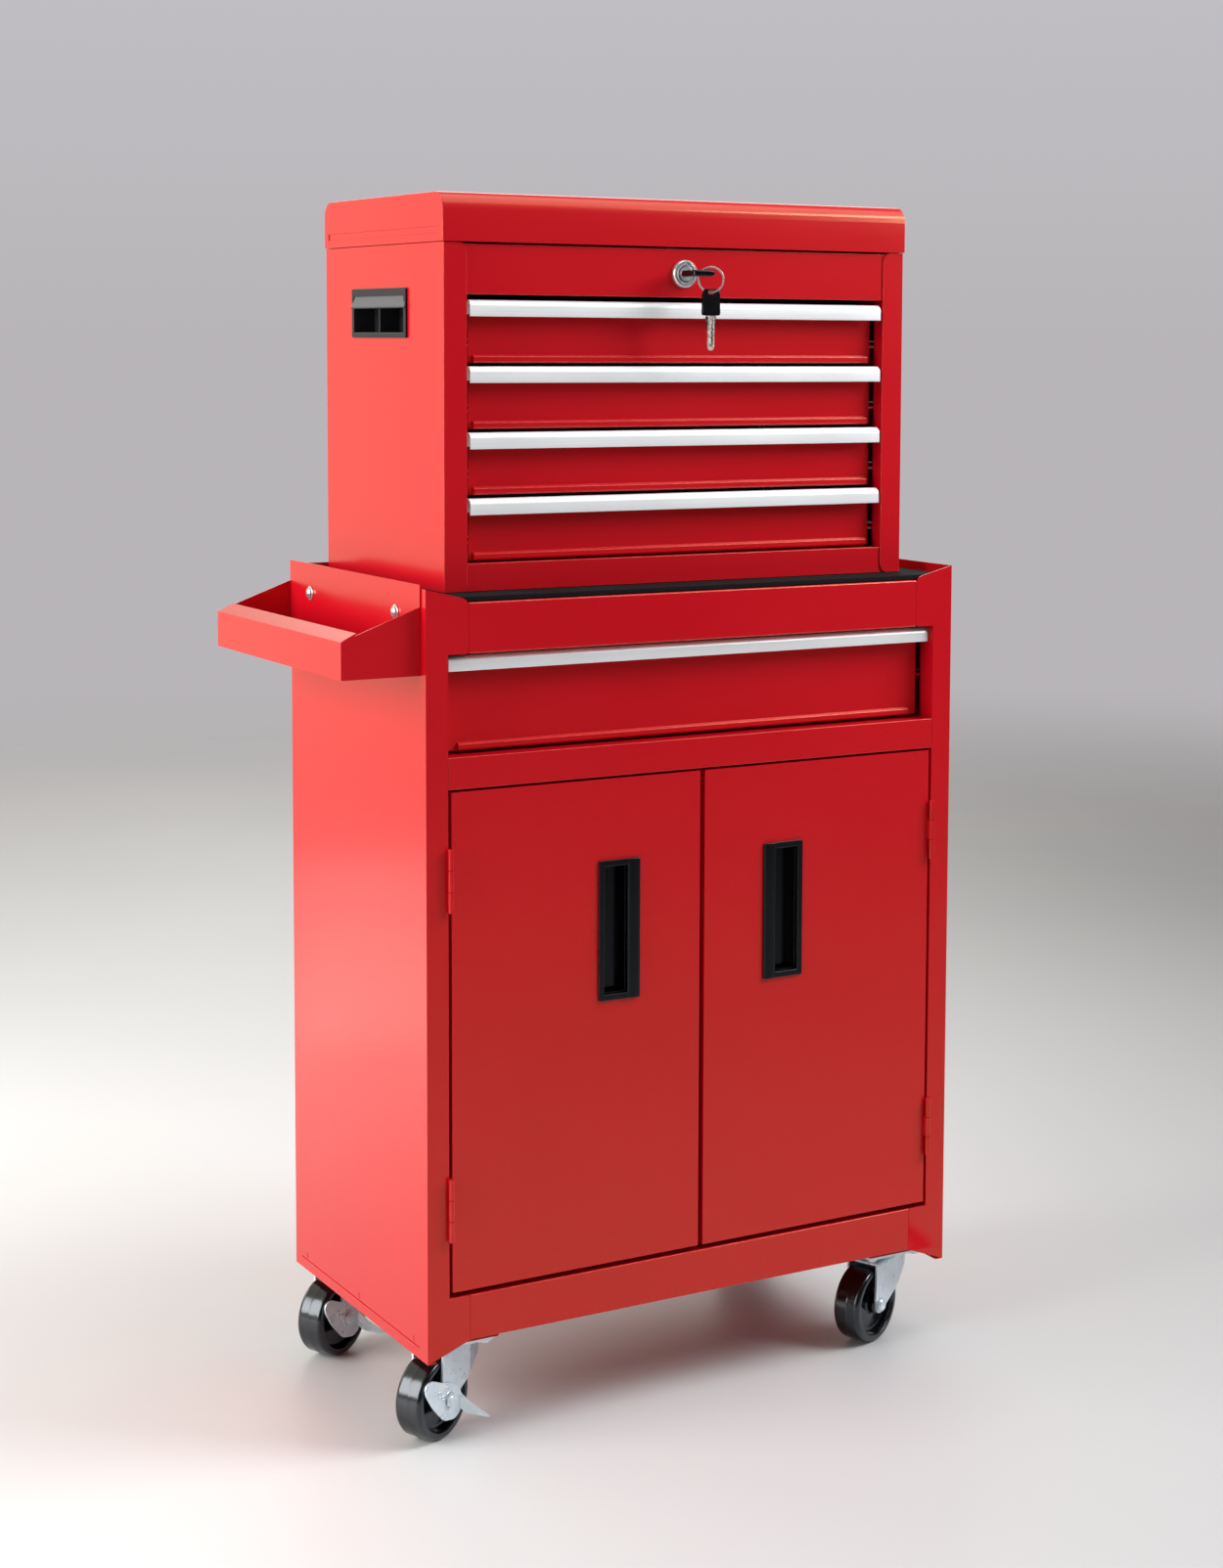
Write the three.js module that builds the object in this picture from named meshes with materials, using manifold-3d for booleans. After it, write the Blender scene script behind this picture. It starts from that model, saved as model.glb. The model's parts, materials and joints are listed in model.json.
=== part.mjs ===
// A steel tool cart in two parts: a four-drawer chest with a lift-up lid stands on a
// rolling cabinet with one wide drawer, two doors, a side tray and four casters.
// Sizes are millimetres. While the cart is built, x runs across the front from the
// cabinet's middle, y runs back from the cabinet's front face and z runs up from the
// floor. At the end the whole cart is shifted so that the origin is the middle of the
// bottom of its box.
import * as THREE from 'three';
import { mergeVertices } from 'three/addons/utils/BufferGeometryUtils.js';
import Module from 'manifold-3d';

const wasm = await Module();
wasm.setup();

// Sheet metal and clearances
const sheet = 1;
const gap = 0.3; // between pieces that are fastened together or rest on each other
const runningGap = 0.8; // between pieces that move past each other
const overrun = 3; // how far a cutting shape passes through its wall
const hem = 8; // folded edges that stiffen a sheet
const foldDepth = 12; // the rails' folded lower edges

// Cabinet
const cabinetWidth = 540;
const cabinetDepth = 298;
const panelBottom = 78; // floor to the side panels' lower edge
const panelHeight = 667;
const stileWidth = 20.5;
const stileReturn = 21;
const gussetWidth = 40;
const gussetRise = 2.7; // upper gusset's corner above the deck
const gussetCorner = 7; // rounding of that corner
const gussetFoot = 3; // rounding of the gussets' corners at the opening
const rearFlange = 15;
const railDrop = 12.5; // top rail below the side panels' tops
const railRise = 15; // bottom rail above the side panels' bottoms
const topRailHeight = 43.5;
const midRailHeight = 27.5;
const bottomRailHeight = 40;
const wideOpeningHeight = 87.5;
const catchShelf = 32; // the middle rail's lower fold, which carries the door catches
const baseRearFold = 25;
const matThickness = 4.7;
const matInset = 4;

// Chest
const chestWidth = 471;
const chestDepth = 255;
const chestSetback = 36.6;
const chestHeight = 298;
const chestStile = 21.8;
const chestReturn = 15;
const chestCorner = 8; // rounded free corners of the chest's front stiles
const lowerRailHeight = 24.2;
const lockPanelHeight = 44.4;
const chestFold = 12;
const tillDrop = 1.3; // the till's floor above the lock panel's lower fold

// Lid
const lidHeight = 42;
const lidOverhang = 1.3;
const lidRound = 15;
const lidGap = 0.4;
const keeperWidth = 12;
const keeperOffset = 14; // from the lock's middle to the keeper's near edge
const keeperSetback = 54.5; // from the chest's front face side to the keeper's drop
const keeperFoot = 10;
const keeperSlack = 1.6; // between the keeper's foot and the turned cam

// Lid hinge
const lidHingeLength = 420;
const lidKnuckles = 5;
const lidKnuckleRadius = 2.5;
const lidPinRadius = 1.1;
const lidPinBore = 1.55;
const lidAxisBack = 3.8; // behind the chest's back
const lidLeafHeight = 22;

// Drawer fronts, pulls and boxes
const chestDrawers = 4;
const firstPullDrop = 4.4; // first pull below the chest's opening
const lastFaceRise = 1.6; // last drawer front above the chest's lower rail
const chestFaceGap = 3; // between one drawer front and the next pull
const chestFaceRecess = 12.5;
const chestFaceSideGap = 6.7;
const chestPullLead = 0.5; // the chest's pulls stand this far before its stiles
const pullHeight = 14;
const pullEndGap = 2.9;
const pullThickness = 1.5;
const pullLean = 4; // how far the pull's top edge leans back
const pullBrow = 5; // height of the leaning part
const pullWeb = 12; // the pull's flange on the drawer front
const wideFaceRecess = 18;
const wideFaceSideGap = 7.2;
const wideFaceRise = 3; // wide drawer's front above the middle rail
const widePullDrop = 2;
const widePullHeight = 13;
const widePullRecess = 4.7;
const lipReach = 3.5;
const lipHeight = 7;
const lipChamfer = 1.5;
const chestLipEnd = 4; // the lips end this far inside the fronts' ends
const wideLipEnd = 9.5;
const boxFloorRise = 2.5; // the box's floor above the front's lower edge
const chestWallDrop = 14; // box walls below the pull's top
const wideWallDrop = 22;
const boxRearGap = 7;
const runnerReach = 10.8; // the runner's width beside the box
const runnerThickness = 1.2;
const chestRunnerRise = 15.6; // runners above the front's lower edge
const wideRunnerRise = 36.5;
const boxSideGap = 1;
const railLipHeight = 4;
const railEndGap = 2.6;
const uprightWidth = 12;

// Doors
const doorThickness = 18;
const doorSideGap = 3.1;
const doorMiddleGap = 5;
const doorTopGap = 2.2;
const doorBottomGap = 4.6;
const doorBackFold = 12;
const hingeHeight = 55;
const hingeLowRise = 46; // hinge's lower end above the door's lower edge
const hingeHighDrop = 47.5; // hinge's upper end below the door's upper edge
const knuckleRadius = 2.8;
const knuckleForward = 3.2; // hinge axis before the cabinet's front
const knuckleInset = 0.9; // hinge axis inside the opening's edge
const knuckleGap = 0.6;
const doorPinRadius = 1.1;
const doorPinBore = 1.55;
const leafDepth = 15;
const leafThickness = 1;
const catchWidth = 44;
const catchDepth = 9;
const catchHeight = 13;

// Door pulls
const gripWidth = 41.3;
const gripHeight = 125;
const gripFromMiddle = 64.3;
const gripBelowTop = 71.8;
const gripProud = 1.7;
const gripBand = 12.5; // the wide edge that the fingers hold
const gripBandProud = 1.3;
const gripBezel = 3.5;
const gripPocketDepth = 13;
const gripWall = 1.5;

// Chest handles
const handleLength = 117.4;
const handleRailGap = 0.2; // between a handle and the first drawer's rail
const handleFront = 73.8; // behind the chest's front face
const handleBelowTop = 37.8;
const handleProud = 1.8;
const handleBezel = 3;
const handleTopBand = 5.3;
const handlePocketDepth = 20;
const handleBrowDrop = 16.5;
const handleBrowLean = 1.7;
const handleBrowThickness = 2.2;
const handleRibThickness = 2;

// Side tray
const trayReach = 72.4;
const trayFront = 8.9;
const trayRear = 1;
const trayRise = 3.5; // the tray's back above the side panel
const trayFloorDrop = 73.3; // the tray's floor below the side panel's top
const trayLip = 32;
const trayEndRise = 26.3;
const trayFlange = 14.2;
const trayFlangeRise = 6.8;
const trayHoleRadius = 7;
const trayHoles = 6;
const trayHoleReach = 42; // from the tray's back to the holes' middles
const trayBoltInset = 49.3;
const trayBoltDrop = 23.5;
const trayBoltRadius = 2.6;
const trayBoltHead = 6.5;
const trayBoltHeadHeight = 3.6;
const trayNutRadius = 4.6;
const trayNutHeight = 4;

// Lock and keys
const bezelRadius = 12.4;
const bezelProud = 3.6;
const barrelRadius = 9;
const barrelLength = 22;
const plugRadius = 6.5;
const plugProud = 0.8;
const lockBelowTop = 23.3;
const lockNutRadius = 12.8;
const lockNutThickness = 3;
const barrelBore = 7.1;
const camLength = 26;
const camWidth = 10;
const camThickness = 1.6;
const keySlotWidth = 7.4;
const keySlotHeight = 2.6;
const keyBladeWidth = 6.5;
const keyBladeThickness = 1.9;
const keySlotDepth = 15;
const keyBowWidth = 22;
const keyBowLength = 26;
const keyBowThickness = 5.5;
const keyBowStandOff = 7;
const keyBowCorner = 4;
const keyHoleInset = 7;
const keyHoleRadius = 3.6;
const ringRadius = 11;
const ringWire = 0.8;
const ringDrop = 5.5; // ring's middle below the key
const ringReach = 8.4; // ring's middle beside the key's hole
const ringTurn = -0.5376; // the ring's plane, in radians from the front
const spareHeadWidth = 20;
const spareHeadHeight = 23.5;
const spareHeadThickness = 2.5;
const spareHoleRadius = 4.8;
const spareHoleBelowTop = 6.2;
const spareHang = 1.7; // the hole's upper edge above the middle of the ring's wire
const spareBladeWidth = 7.5;
const spareBladeLength = 31;
const spareBladeThickness = 1.8;
const spareTurn = 0.178; // the spare key's face, in radians from the front

// Casters
const wheelRadius = 36.5;
const wheelWidth = 28;
const wheelChamfer = 2.5;
const wheelRimRadius = 28;
const wheelWebHalf = 5;
const wheelHubRadius = 9;
const wheelHubHalf = 14.3;
const wheelSides = 28;
const axleRadius = 3.9;
const axleBore = 4.25;
const axleHeadRadius = 6.5;
const axleHeadThickness = 3;
const casterTrail = 26;
const casterHeight = 85; // floor to the mounting plate's upper face
const casterFrontInset = 45;
const casterRearInset = 30;
const casterSideInset = 41.5;
const plateLength = 64;
const plateWidth = 58;
const plateThickness = 2.5;
const raceRadius = 20;
const raceHeight = 4.5;
const kingpinRadius = 4;
const kingpinBore = 4.6;
const kingpinHead = 8;
const kingpinHeadHeight = 2.5;
const forkThickness = 2;
const forkHalf = 15; // from the wheel's middle plane to a cheek's inner face
const forkNose = 25; // the cheeks' reach before the swivel
const forkTail = 32; // the cheeks' reach behind the swivel at the top
const forkEnd = 8;
const forkEndTurn = 2.5; // radians that the cheek's round end turns through
const forkShoulderDrop = 15;
const forkWaistReach = 3;
const forkWaistDrop = 32;
const channelWidth = 66;
const channelWall = 1.5;
const channelFront = 14;
const channelRear = 8;
const leverThickness = 1.5;
const leverTail = 34;
const leverTailRise = 25;
const leverBack = 24;
const leverNose = 17;
const leverDrop = 20;
const leverTabReach = 27;
const leverTabRise = 3; // above the axle
const leverTabRoot = 15;
const leverTabTip = 18; // below the axle
const leverTabTurn = 0.42; // radians that the tab leans towards the nose
const frontLeftTurn = 0.4974;
const frontRightTurn = 0.4189;
const rearLeftTurn = 0.5061;
const rearRightTurn = 0.4538;

// Facet counts
const pinSides = 12;
const roundSides = 24;
const hexSides = 6;
const arcSteps = 5;

// Places worked out from the sizes above
const half = cabinetWidth / 2;
const panelTop = panelBottom + panelHeight;
const openHalf = half - stileWidth;
const gussetHalf = half - gussetWidth;
const innerHalf = half - sheet - gap; // room between the side panels
const railTop = panelTop - railDrop;
const openTop = railTop - topRailHeight;
const midTop = openTop - wideOpeningHeight;
const midBottom = midTop - midRailHeight;
const railBottom = panelBottom + railRise;
const openBottom = railBottom + bottomRailHeight;
const backFace = cabinetDepth - 2 * sheet - gap; // inner face of the cabinet's back
const chestHalf = chestWidth / 2;
const chestInnerHalf = chestHalf - sheet - gap;
const chestFront = chestSetback;
const chestBack = chestSetback + chestDepth;
const chestBottom = railTop + matThickness + 2 * gap;
const chestTop = chestBottom + chestHeight;
const chestOpenHalf = chestHalf - chestStile;
const chestOpenBottom = chestBottom + lowerRailHeight;
const chestOpenTop = chestTop - lockPanelHeight;
const lidBottom = chestTop + lidGap;
const lidTop = lidBottom + lidHeight;
const lidFront = chestFront - lidOverhang;
const lidBack = chestBack + lidOverhang / 2;
const lidHalf = chestHalf + lidOverhang;
const lidAxis = [chestBack + lidAxisBack, chestTop + lidGap / 2];
const lockHeight = chestTop - lockBelowTop;
const lockBack = chestFront + sheet + gap; // front face of the lock panel
const lidLeafBack = lidBack + gap;

const xAxis = new THREE.Vector3(1, 0, 0);
const yAxis = new THREE.Vector3(0, 1, 0);
const zAxis = new THREE.Vector3(0, 0, 1);

const redPaint = { color: 0xc01f27, roughness: 0.35, metalness: 0.1 };
const aluminium = { color: 0xdfe5e8, roughness: 0.3, metalness: 0.9 };
const zincPlate = { color: 0xb9c6cb, roughness: 0.35, metalness: 0.9 };
const chrome = { color: 0xd8dadb, roughness: 0.12, metalness: 1 };
const blackPlastic = { color: 0x17181a, roughness: 0.45, metalness: 0 };
const blackRubber = { color: 0x1b1b1c, roughness: 0.7, metalness: 0 };
const magnetGrey = { color: 0x3c3d3f, roughness: 0.6, metalness: 0.1 };

function toSolid(geometry) {
  geometry.deleteAttribute('normal');
  geometry.deleteAttribute('uv');
  const merged = mergeVertices(geometry);
  return new wasm.Manifold(new wasm.Mesh({
    numProp: 3,
    vertProperties: merged.attributes.position.array,
    triVerts: new Uint32Array(merged.index.array),
  }));
}

function toGeometry(solid) {
  const { vertProperties, triVerts } = solid.getMesh();
  const geometry = new THREE.BufferGeometry();
  geometry.setAttribute('position', new THREE.BufferAttribute(vertProperties, 3));
  geometry.setIndex(new THREE.BufferAttribute(triVerts, 1));
  geometry.computeVertexNormals();
  return geometry;
}

function join(...solids) {
  return solids.flat().reduce((whole, solid) => whole.add(solid));
}

function cut(solid, ...tools) {
  return tools.flat().reduce((rest, tool) => rest.subtract(tool), solid);
}

// A block from three pairs of ends.
function block(xs, ys, zs) {
  const ends = [xs, ys, zs];
  const size = ends.map(([from, to]) => Math.abs(to - from));
  const middle = ends.map(([from, to]) => (from + to) / 2);
  return toSolid(new THREE.BoxGeometry(...size).translate(...middle));
}

// An outline pushed along an axis: (y, z) points along x, (x, z) along y, (x, y) along z.
function slab(axis, outline, [from, to]) {
  const shape = new THREE.Shape(outline.map(([a, b]) => new THREE.Vector2(a, b)));
  const low = Math.min(from, to);
  const depth = Math.abs(to - from);
  const place = new THREE.Matrix4();
  if (axis === 'x') place.makeBasis(yAxis, zAxis, xAxis).setPosition(low, 0, 0);
  if (axis === 'y') {
    place.makeBasis(xAxis, zAxis, yAxis.clone().negate()).setPosition(0, low + depth, 0);
  }
  if (axis === 'z') place.setPosition(0, 0, low);
  const options = { depth, bevelEnabled: false };
  return toSolid(new THREE.ExtrudeGeometry(shape, options).applyMatrix4(place));
}

// Points on an arc from one angle to another.
function arc([a, b], radius, from, to, steps) {
  return Array.from({ length: steps + 1 }, (_, step) => {
    const angle = from + ((to - from) * step) / steps;
    return [a + radius * Math.cos(angle), b + radius * Math.sin(angle)];
  });
}

function circle(centre, radius, sides) {
  return arc(centre, radius, 0, 2 * Math.PI, sides).slice(0, sides);
}

function rod(axis, centre, radius, ends, sides = pinSides) {
  return slab(axis, circle(centre, radius, sides), ends);
}

// The two ends of a band around its middle.
function middleBand(middle, width) {
  return [middle - width / 2, middle + width / 2];
}

// A pair of x ends on one side of the cart: side is 1 on the right and -1 on the left.
function across(side, inner, outer) {
  return [side * inner, side * outer];
}

// An outline moved to one side of the cart.
function sided(side, outline) {
  return outline.map(([a, b]) => [side * a, b]);
}

function piece(parent, name, solid, finish) {
  const mesh = new THREE.Mesh(toGeometry(solid), new THREE.MeshStandardMaterial(finish));
  mesh.name = name;
  parent.add(mesh);
}

const cart = new THREE.Group();

// Points that round the corner between two neighbours of an outline.
function roundedCorner(before, corner, after, radius) {
  const [from, middle, to] = [before, corner, after].map(([a, b]) => new THREE.Vector2(a, b));
  const start = from.sub(middle).setLength(radius).add(middle);
  const end = to.sub(middle).setLength(radius).add(middle);
  const points = new THREE.QuadraticBezierCurve(start, middle, end).getPoints(arcSteps);
  return points.map((point) => point.toArray());
}

// Cabinet side panels, each with its front stile, gussets and folds
function sideSheet(side) {
  const lowFoot = [gussetHalf, openBottom];
  const highFoot = [gussetHalf, openTop];
  const lowEnd = [gussetHalf, railBottom];
  const shoulder = [gussetHalf, railTop + gussetRise];
  const peak = [half, panelTop];
  const stile = slab('y', sided(side, [
    [half, panelBottom],
    lowEnd,
    ...roundedCorner(lowEnd, lowFoot, [openHalf, openBottom], gussetFoot),
    [openHalf, openBottom],
    [openHalf, openTop],
    ...roundedCorner([openHalf, openTop], highFoot, shoulder, gussetFoot),
    ...roundedCorner(highFoot, shoulder, peak, gussetCorner),
    peak,
  ]), [0, sheet]);
  const panelHeights = [panelBottom, panelTop];
  const wall = block(across(side, half - sheet, half), [0, cabinetDepth], panelHeights);
  const stileFold = block(
    across(side, openHalf, openHalf + sheet), [0, stileReturn], [openBottom, openTop]);
  const rearFold = block(
    across(side, half - rearFlange, half),
    [cabinetDepth - sheet, cabinetDepth],
    [railBottom, panelTop]);
  const lowerHem = block(
    across(side, half - hem, half), [0, cabinetDepth], [panelBottom, panelBottom + sheet]);
  return join(wall, stile, stileFold, rearFold, lowerHem);
}

const trayTop = panelTop + trayRise;
const trayFloor = panelTop - trayFloorDrop;
const trayEnds = [trayFront, cabinetDepth - trayRear];
const boltDepths = [trayEnds[0] + trayBoltInset, trayEnds[1] - trayBoltInset];
const boltHeight = panelTop - trayBoltDrop;

function boltHoles() {
  return boltDepths.map((depth) => rod(
    'x', [depth, boltHeight], trayBoltRadius + gap, [-half - overrun, -half + overrun]));
}

piece(cart, 'cabinet_back', block(
  [-innerHalf, innerHalf], [backFace, backFace + sheet], [railBottom, panelTop]), redPaint);

// A panel that fills the cabinet's inside behind the stiles' folds.
function insidePlate(height, frontHalf, clearDepth) {
  const heights = [height - sheet, height];
  return join(
    block([-frontHalf, frontHalf], [0, clearDepth + sheet], heights),
    block([-innerHalf, innerHalf], [clearDepth, backFace - gap], heights));
}

function rail(halfLength, bottom, top, depth) {
  return join(
    block([-halfLength, halfLength], [0, sheet], [bottom, top]),
    block([-halfLength, halfLength], [0, depth], [bottom, bottom + sheet]));
}

piece(cart, 'cabinet_deck', join(
  rail(gussetHalf - gap, openTop, railTop, foldDepth),
  insidePlate(railTop, gussetHalf - gap, sheet + gap)), redPaint);

piece(cart, 'deck_mat', block(
  [-innerHalf + matInset, innerHalf - matInset],
  [matInset, backFace - matInset],
  [railTop + gap, railTop + gap + matThickness]), blackRubber);

piece(cart, 'cabinet_shelf', join(
  rail(openHalf - gap, midBottom, midTop, catchShelf),
  insidePlate(midTop, openHalf - gap, stileReturn + gap)), redPaint);

const baseTop = openBottom - gap;
const plateTop = casterHeight;
const casterAcross = half - casterSideInset;

function casterChannel(side) {
  const bottom = plateTop + gap;
  const outer = casterAcross + channelWidth / 2;
  const inner = casterAcross - channelWidth / 2;
  const depths = [channelFront, backFace - channelRear];
  return join(
    block(across(side, inner, outer), depths, [bottom, bottom + channelWall]),
    block(across(side, inner, inner + channelWall), depths, [bottom, baseTop]),
    block(across(side, outer - channelWall, outer), depths, [bottom, baseTop]));
}

piece(cart, 'cabinet_base', join(
  rail(gussetHalf - gap, railBottom, baseTop, foldDepth),
  insidePlate(baseTop, gussetHalf - gap, sheet + gap),
  block(
    [-innerHalf, innerHalf],
    [backFace - gap - sheet, backFace - gap],
    [baseTop - baseRearFold, baseTop]),
  casterChannel(-1),
  casterChannel(1)), redPaint);

// Side tray on the left panel
const trayBack = half + gap;
const trayOuter = half + trayReach;
const trayLipTop = trayFloor + trayLip;

function trayEnd(depth) {
  return slab('y', sided(-1, [
    [trayBack, trayFloor],
    [trayOuter, trayFloor],
    [trayOuter, trayLipTop],
    [trayBack, trayLipTop + trayEndRise],
  ]), [depth, depth + sheet]);
}

function trayFloorHoles() {
  const spacing = (trayEnds[1] - trayEnds[0]) / trayHoles;
  return Array.from({ length: trayHoles }, (_, hole) => rod(
    'z',
    [-(trayBack + trayHoleReach), trayEnds[0] + (hole + 1 / 2) * spacing],
    trayHoleRadius,
    [trayFloor - overrun, trayFloor + overrun],
    roundSides / 2));
}

const trayShell = join(
  block([-trayBack - sheet, -trayBack], trayEnds, [trayFloor, trayTop]),
  block([-trayOuter, -trayBack], trayEnds, [trayFloor, trayFloor + sheet]),
  block([-trayOuter, -trayOuter + sheet], trayEnds, [trayFloor, trayLipTop]),
  slab('y', sided(-1, [
    [trayOuter, trayLipTop - sheet],
    [trayOuter, trayLipTop],
    [trayOuter - trayFlange, trayLipTop + trayFlangeRise],
    [trayOuter - trayFlange, trayLipTop + trayFlangeRise - sheet],
  ]), [trayEnds[0] + sheet + gap, trayEnds[1] - sheet - gap]),
  trayEnd(trayEnds[0]),
  trayEnd(trayEnds[1] - sheet));
piece(cart, 'side_tray', cut(trayShell, boltHoles(), trayFloorHoles()), redPaint);

function trayBolt(depth) {
  const centre = [depth, boltHeight];
  const outside = -trayBack - sheet - gap;
  const inside = -half + sheet + gap;
  return join(
    rod('x', centre, trayBoltRadius, [outside - trayBoltHeadHeight, inside + trayNutHeight]),
    rod('x', centre, trayBoltHead, [outside, outside - trayBoltHeadHeight], roundSides),
    slab('x', circle(centre, trayNutRadius, hexSides), [inside, inside + trayNutHeight]));
}

piece(cart, 'tray_bolt_front', trayBolt(boltDepths[0]), chrome);
piece(cart, 'tray_bolt_rear', trayBolt(boltDepths[1]), chrome);

// Doors, with their hinges and pulls
const doorInner = doorMiddleGap / 2;
const doorOuter = openHalf - doorSideGap;
const doorBottom = openBottom + doorBottomGap;
const doorTop = midBottom - doorTopGap;
const hingeAcross = openHalf - knuckleInset;
const hingeMiddles = [
  doorBottom + hingeLowRise + hingeHeight / 2,
  doorTop - hingeHighDrop - hingeHeight / 2,
];
const knuckleLength = (hingeHeight - 2 * knuckleGap) / 3;
const gripInner = gripFromMiddle;
const gripOuter = gripInner + gripWidth;
const gripTop = doorTop - gripBelowTop;
const gripBottom = gripTop - gripHeight;

function hingeCentre(side) {
  return [side * hingeAcross, -knuckleForward];
}

// Each fixed leaf is welded to the stile's fold. Its two knuckles hold the pin.
function fixedLeaf(side, middle) {
  const low = middle - hingeHeight / 2;
  const high = middle + hingeHeight / 2;
  const centre = hingeCentre(side);
  const inner = openHalf - leafThickness;
  const ends = [[low, low + knuckleLength], [high - knuckleLength, high]];
  return join(
    block(across(side, inner, openHalf + sheet / 2), [sheet, leafDepth], [low, high]),
    ends.map((heights) => block(
      across(side, inner, openHalf), [-knuckleForward, 2 * sheet], heights)),
    ends.map((heights) => rod('z', centre, knuckleRadius, heights)),
    rod('z', centre, doorPinRadius, [low, high]));
}

// Each moving leaf is welded to the door's edge. Its middle knuckle turns on the pin.
function movingLeaf(side, middle) {
  const outer = doorOuter + leafThickness;
  const heights = middleBand(middle, hingeHeight);
  const knuckle = middleBand(middle, knuckleLength);
  const centre = hingeCentre(side);
  return cut(
    join(
      block(across(side, doorOuter - sheet / 2, outer), [sheet, leafDepth], heights),
      block(across(side, doorOuter, outer), [-knuckleForward, 2 * sheet], knuckle),
      rod('z', centre, knuckleRadius, knuckle)),
    rod('z', centre, doorPinBore, heights));
}

function doorPanel(side) {
  const shell = cut(
    block(across(side, doorInner, doorOuter), [0, doorThickness], [doorBottom, doorTop]),
    block(
      across(side, doorInner + sheet, doorOuter - sheet),
      [sheet, doorThickness - sheet],
      [doorBottom + sheet, doorTop - sheet]),
    block(
      across(side, doorInner + doorBackFold, doorOuter - doorBackFold),
      [sheet, doorThickness + overrun],
      [doorBottom + doorBackFold, doorTop - doorBackFold]));
  const pullHole = block(
    across(side, gripInner + gripBezel, gripOuter - gripBezel),
    [-overrun, overrun],
    [gripBottom + gripBezel, gripTop - gripBezel]);
  return join(cut(shell, pullHole), hingeMiddles.map((middle) => movingLeaf(side, middle)));
}

function doorPull(side) {
  const heights = [gripBottom, gripTop];
  const front = -gap - gripProud;
  const inset = gripBezel + gap;
  const wall = inset + gripWall;
  const pocketHeights = [gripBottom + inset, gripTop - inset];
  const hollowHeights = [gripBottom + wall, gripTop - wall];
  const body = join(
    block(across(side, gripInner, gripOuter), [front, -gap], heights),
    block(
      across(side, gripInner, gripInner + gripBand), [front - gripBandProud, -gap], heights),
    block(
      across(side, gripInner + inset, gripOuter - inset), [front, gripPocketDepth], pocketHeights));
  const hollow = block(
    across(side, gripInner + wall, gripOuter - wall),
    [-gap, gripPocketDepth - gripWall],
    hollowHeights);
  const mouth = block(
    across(side, gripInner + gripBand, gripOuter - wall), [front - overrun, 0], hollowHeights);
  return cut(body, hollow, mouth);
}

for (const side of [-1, 1]) {
  const name = side < 0 ? 'left' : 'right';
  piece(cart, `door_${name}`, doorPanel(side), redPaint);
  piece(cart, `door_pull_${name}`, doorPull(side), blackPlastic);
}

piece(cart, 'door_catch', block(
  middleBand(0, catchWidth),
  [doorThickness + gap, doorThickness + gap + catchDepth],
  [midBottom - gap - catchHeight, midBottom - gap]), magnetGrey);

// Drawers: a folded box with its front and runners, and an aluminium pull
function drawerBox({ top, bottom, face, faceHalf, lipEnd, sideHalf, back, wallDrop, runnerRise }) {
  const floor = bottom + boxFloorRise;
  const boxHalf = sideHalf - runnerReach;
  const wallTop = top - wallDrop;
  const runner = bottom + runnerRise;
  const front = block(
    [-faceHalf, faceHalf], [face, face + sheet], [bottom, top - pullThickness - gap]);
  const lip = slab('x', [
    [face + sheet, bottom],
    [face + sheet, bottom + lipHeight],
    [face, bottom + lipHeight],
    [face - lipReach, bottom + lipHeight - lipChamfer],
    [face - lipReach, bottom + lipChamfer],
    [face - lipReach + lipChamfer, bottom],
  ], [-faceHalf + lipEnd, faceHalf - lipEnd]);
  const sides = [-1, 1].map((side) => join(
    block(across(side, boxHalf - sheet, boxHalf), [face, back], [floor, wallTop]),
    block(
      across(side, boxHalf - sheet, sideHalf),
      [face + sheet, back],
      [runner, runner + runnerThickness])));
  return join(
    front,
    lip,
    block([-boxHalf, boxHalf], [face, back], [floor, floor + sheet]),
    block([-boxHalf, boxHalf], [back - sheet, back], [floor, wallTop]),
    sides);
}

function drawerPull({ top, face, front, height, halfLength }) {
  const back = face - gap;
  const inner = front + pullThickness;
  return slab('x', [
    [back, top],
    [front + pullLean, top],
    [front + pullLean / 4, top - pullBrow / 2],
    [front, top - pullBrow],
    [front, top - height],
    [inner, top - height],
    [inner, top - pullBrow],
    [inner + pullLean / 4, top - pullBrow / 2 - pullThickness / 2],
    [inner + pullLean, top - pullThickness],
    [back - pullThickness, top - pullThickness],
    [back - pullThickness, top - pullWeb],
    [back, top - pullWeb],
  ], [-halfLength, halfLength]);
}

function railTopAt(runner) {
  return runner + runnerThickness + railLipHeight;
}

// A channel on the wall, open towards the drawer, that the runner slides in.
function drawerRail(side, { wall, sideHalf, front, back, runner }) {
  const lipEnd = sideHalf - runnerReach + 2 * boxSideGap;
  const depths = [front, back];
  const low = runner - gap;
  const high = railTopAt(runner);
  return join(
    block(across(side, wall - sheet, wall), depths, [low - sheet, high]),
    block(across(side, lipEnd, wall), depths, [low - sheet, low]),
    block(across(side, lipEnd, wall), depths, [high - sheet, high]));
}

const chestFace = chestFront + chestFaceRecess;
const chestSideHalf = chestOpenHalf - boxSideGap;
const chestBoxBack = chestBack - sheet - boxRearGap;
const wideSideHalf = openHalf - boxSideGap;

// The drawers share the chest's opening evenly.
const chestDrawersTop = chestOpenTop - firstPullDrop;
const drawerPitch = (chestDrawersTop - chestOpenBottom - lastFaceRise + chestFaceGap) / chestDrawers;

function chestDrawerTop(number) {
  return chestDrawersTop - (number - 1) * drawerPitch;
}

function chestDrawerBottom(number) {
  return chestDrawerTop(number) - drawerPitch + chestFaceGap;
}

function chestRunner(number) {
  return chestDrawerBottom(number) + chestRunnerRise;
}

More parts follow.
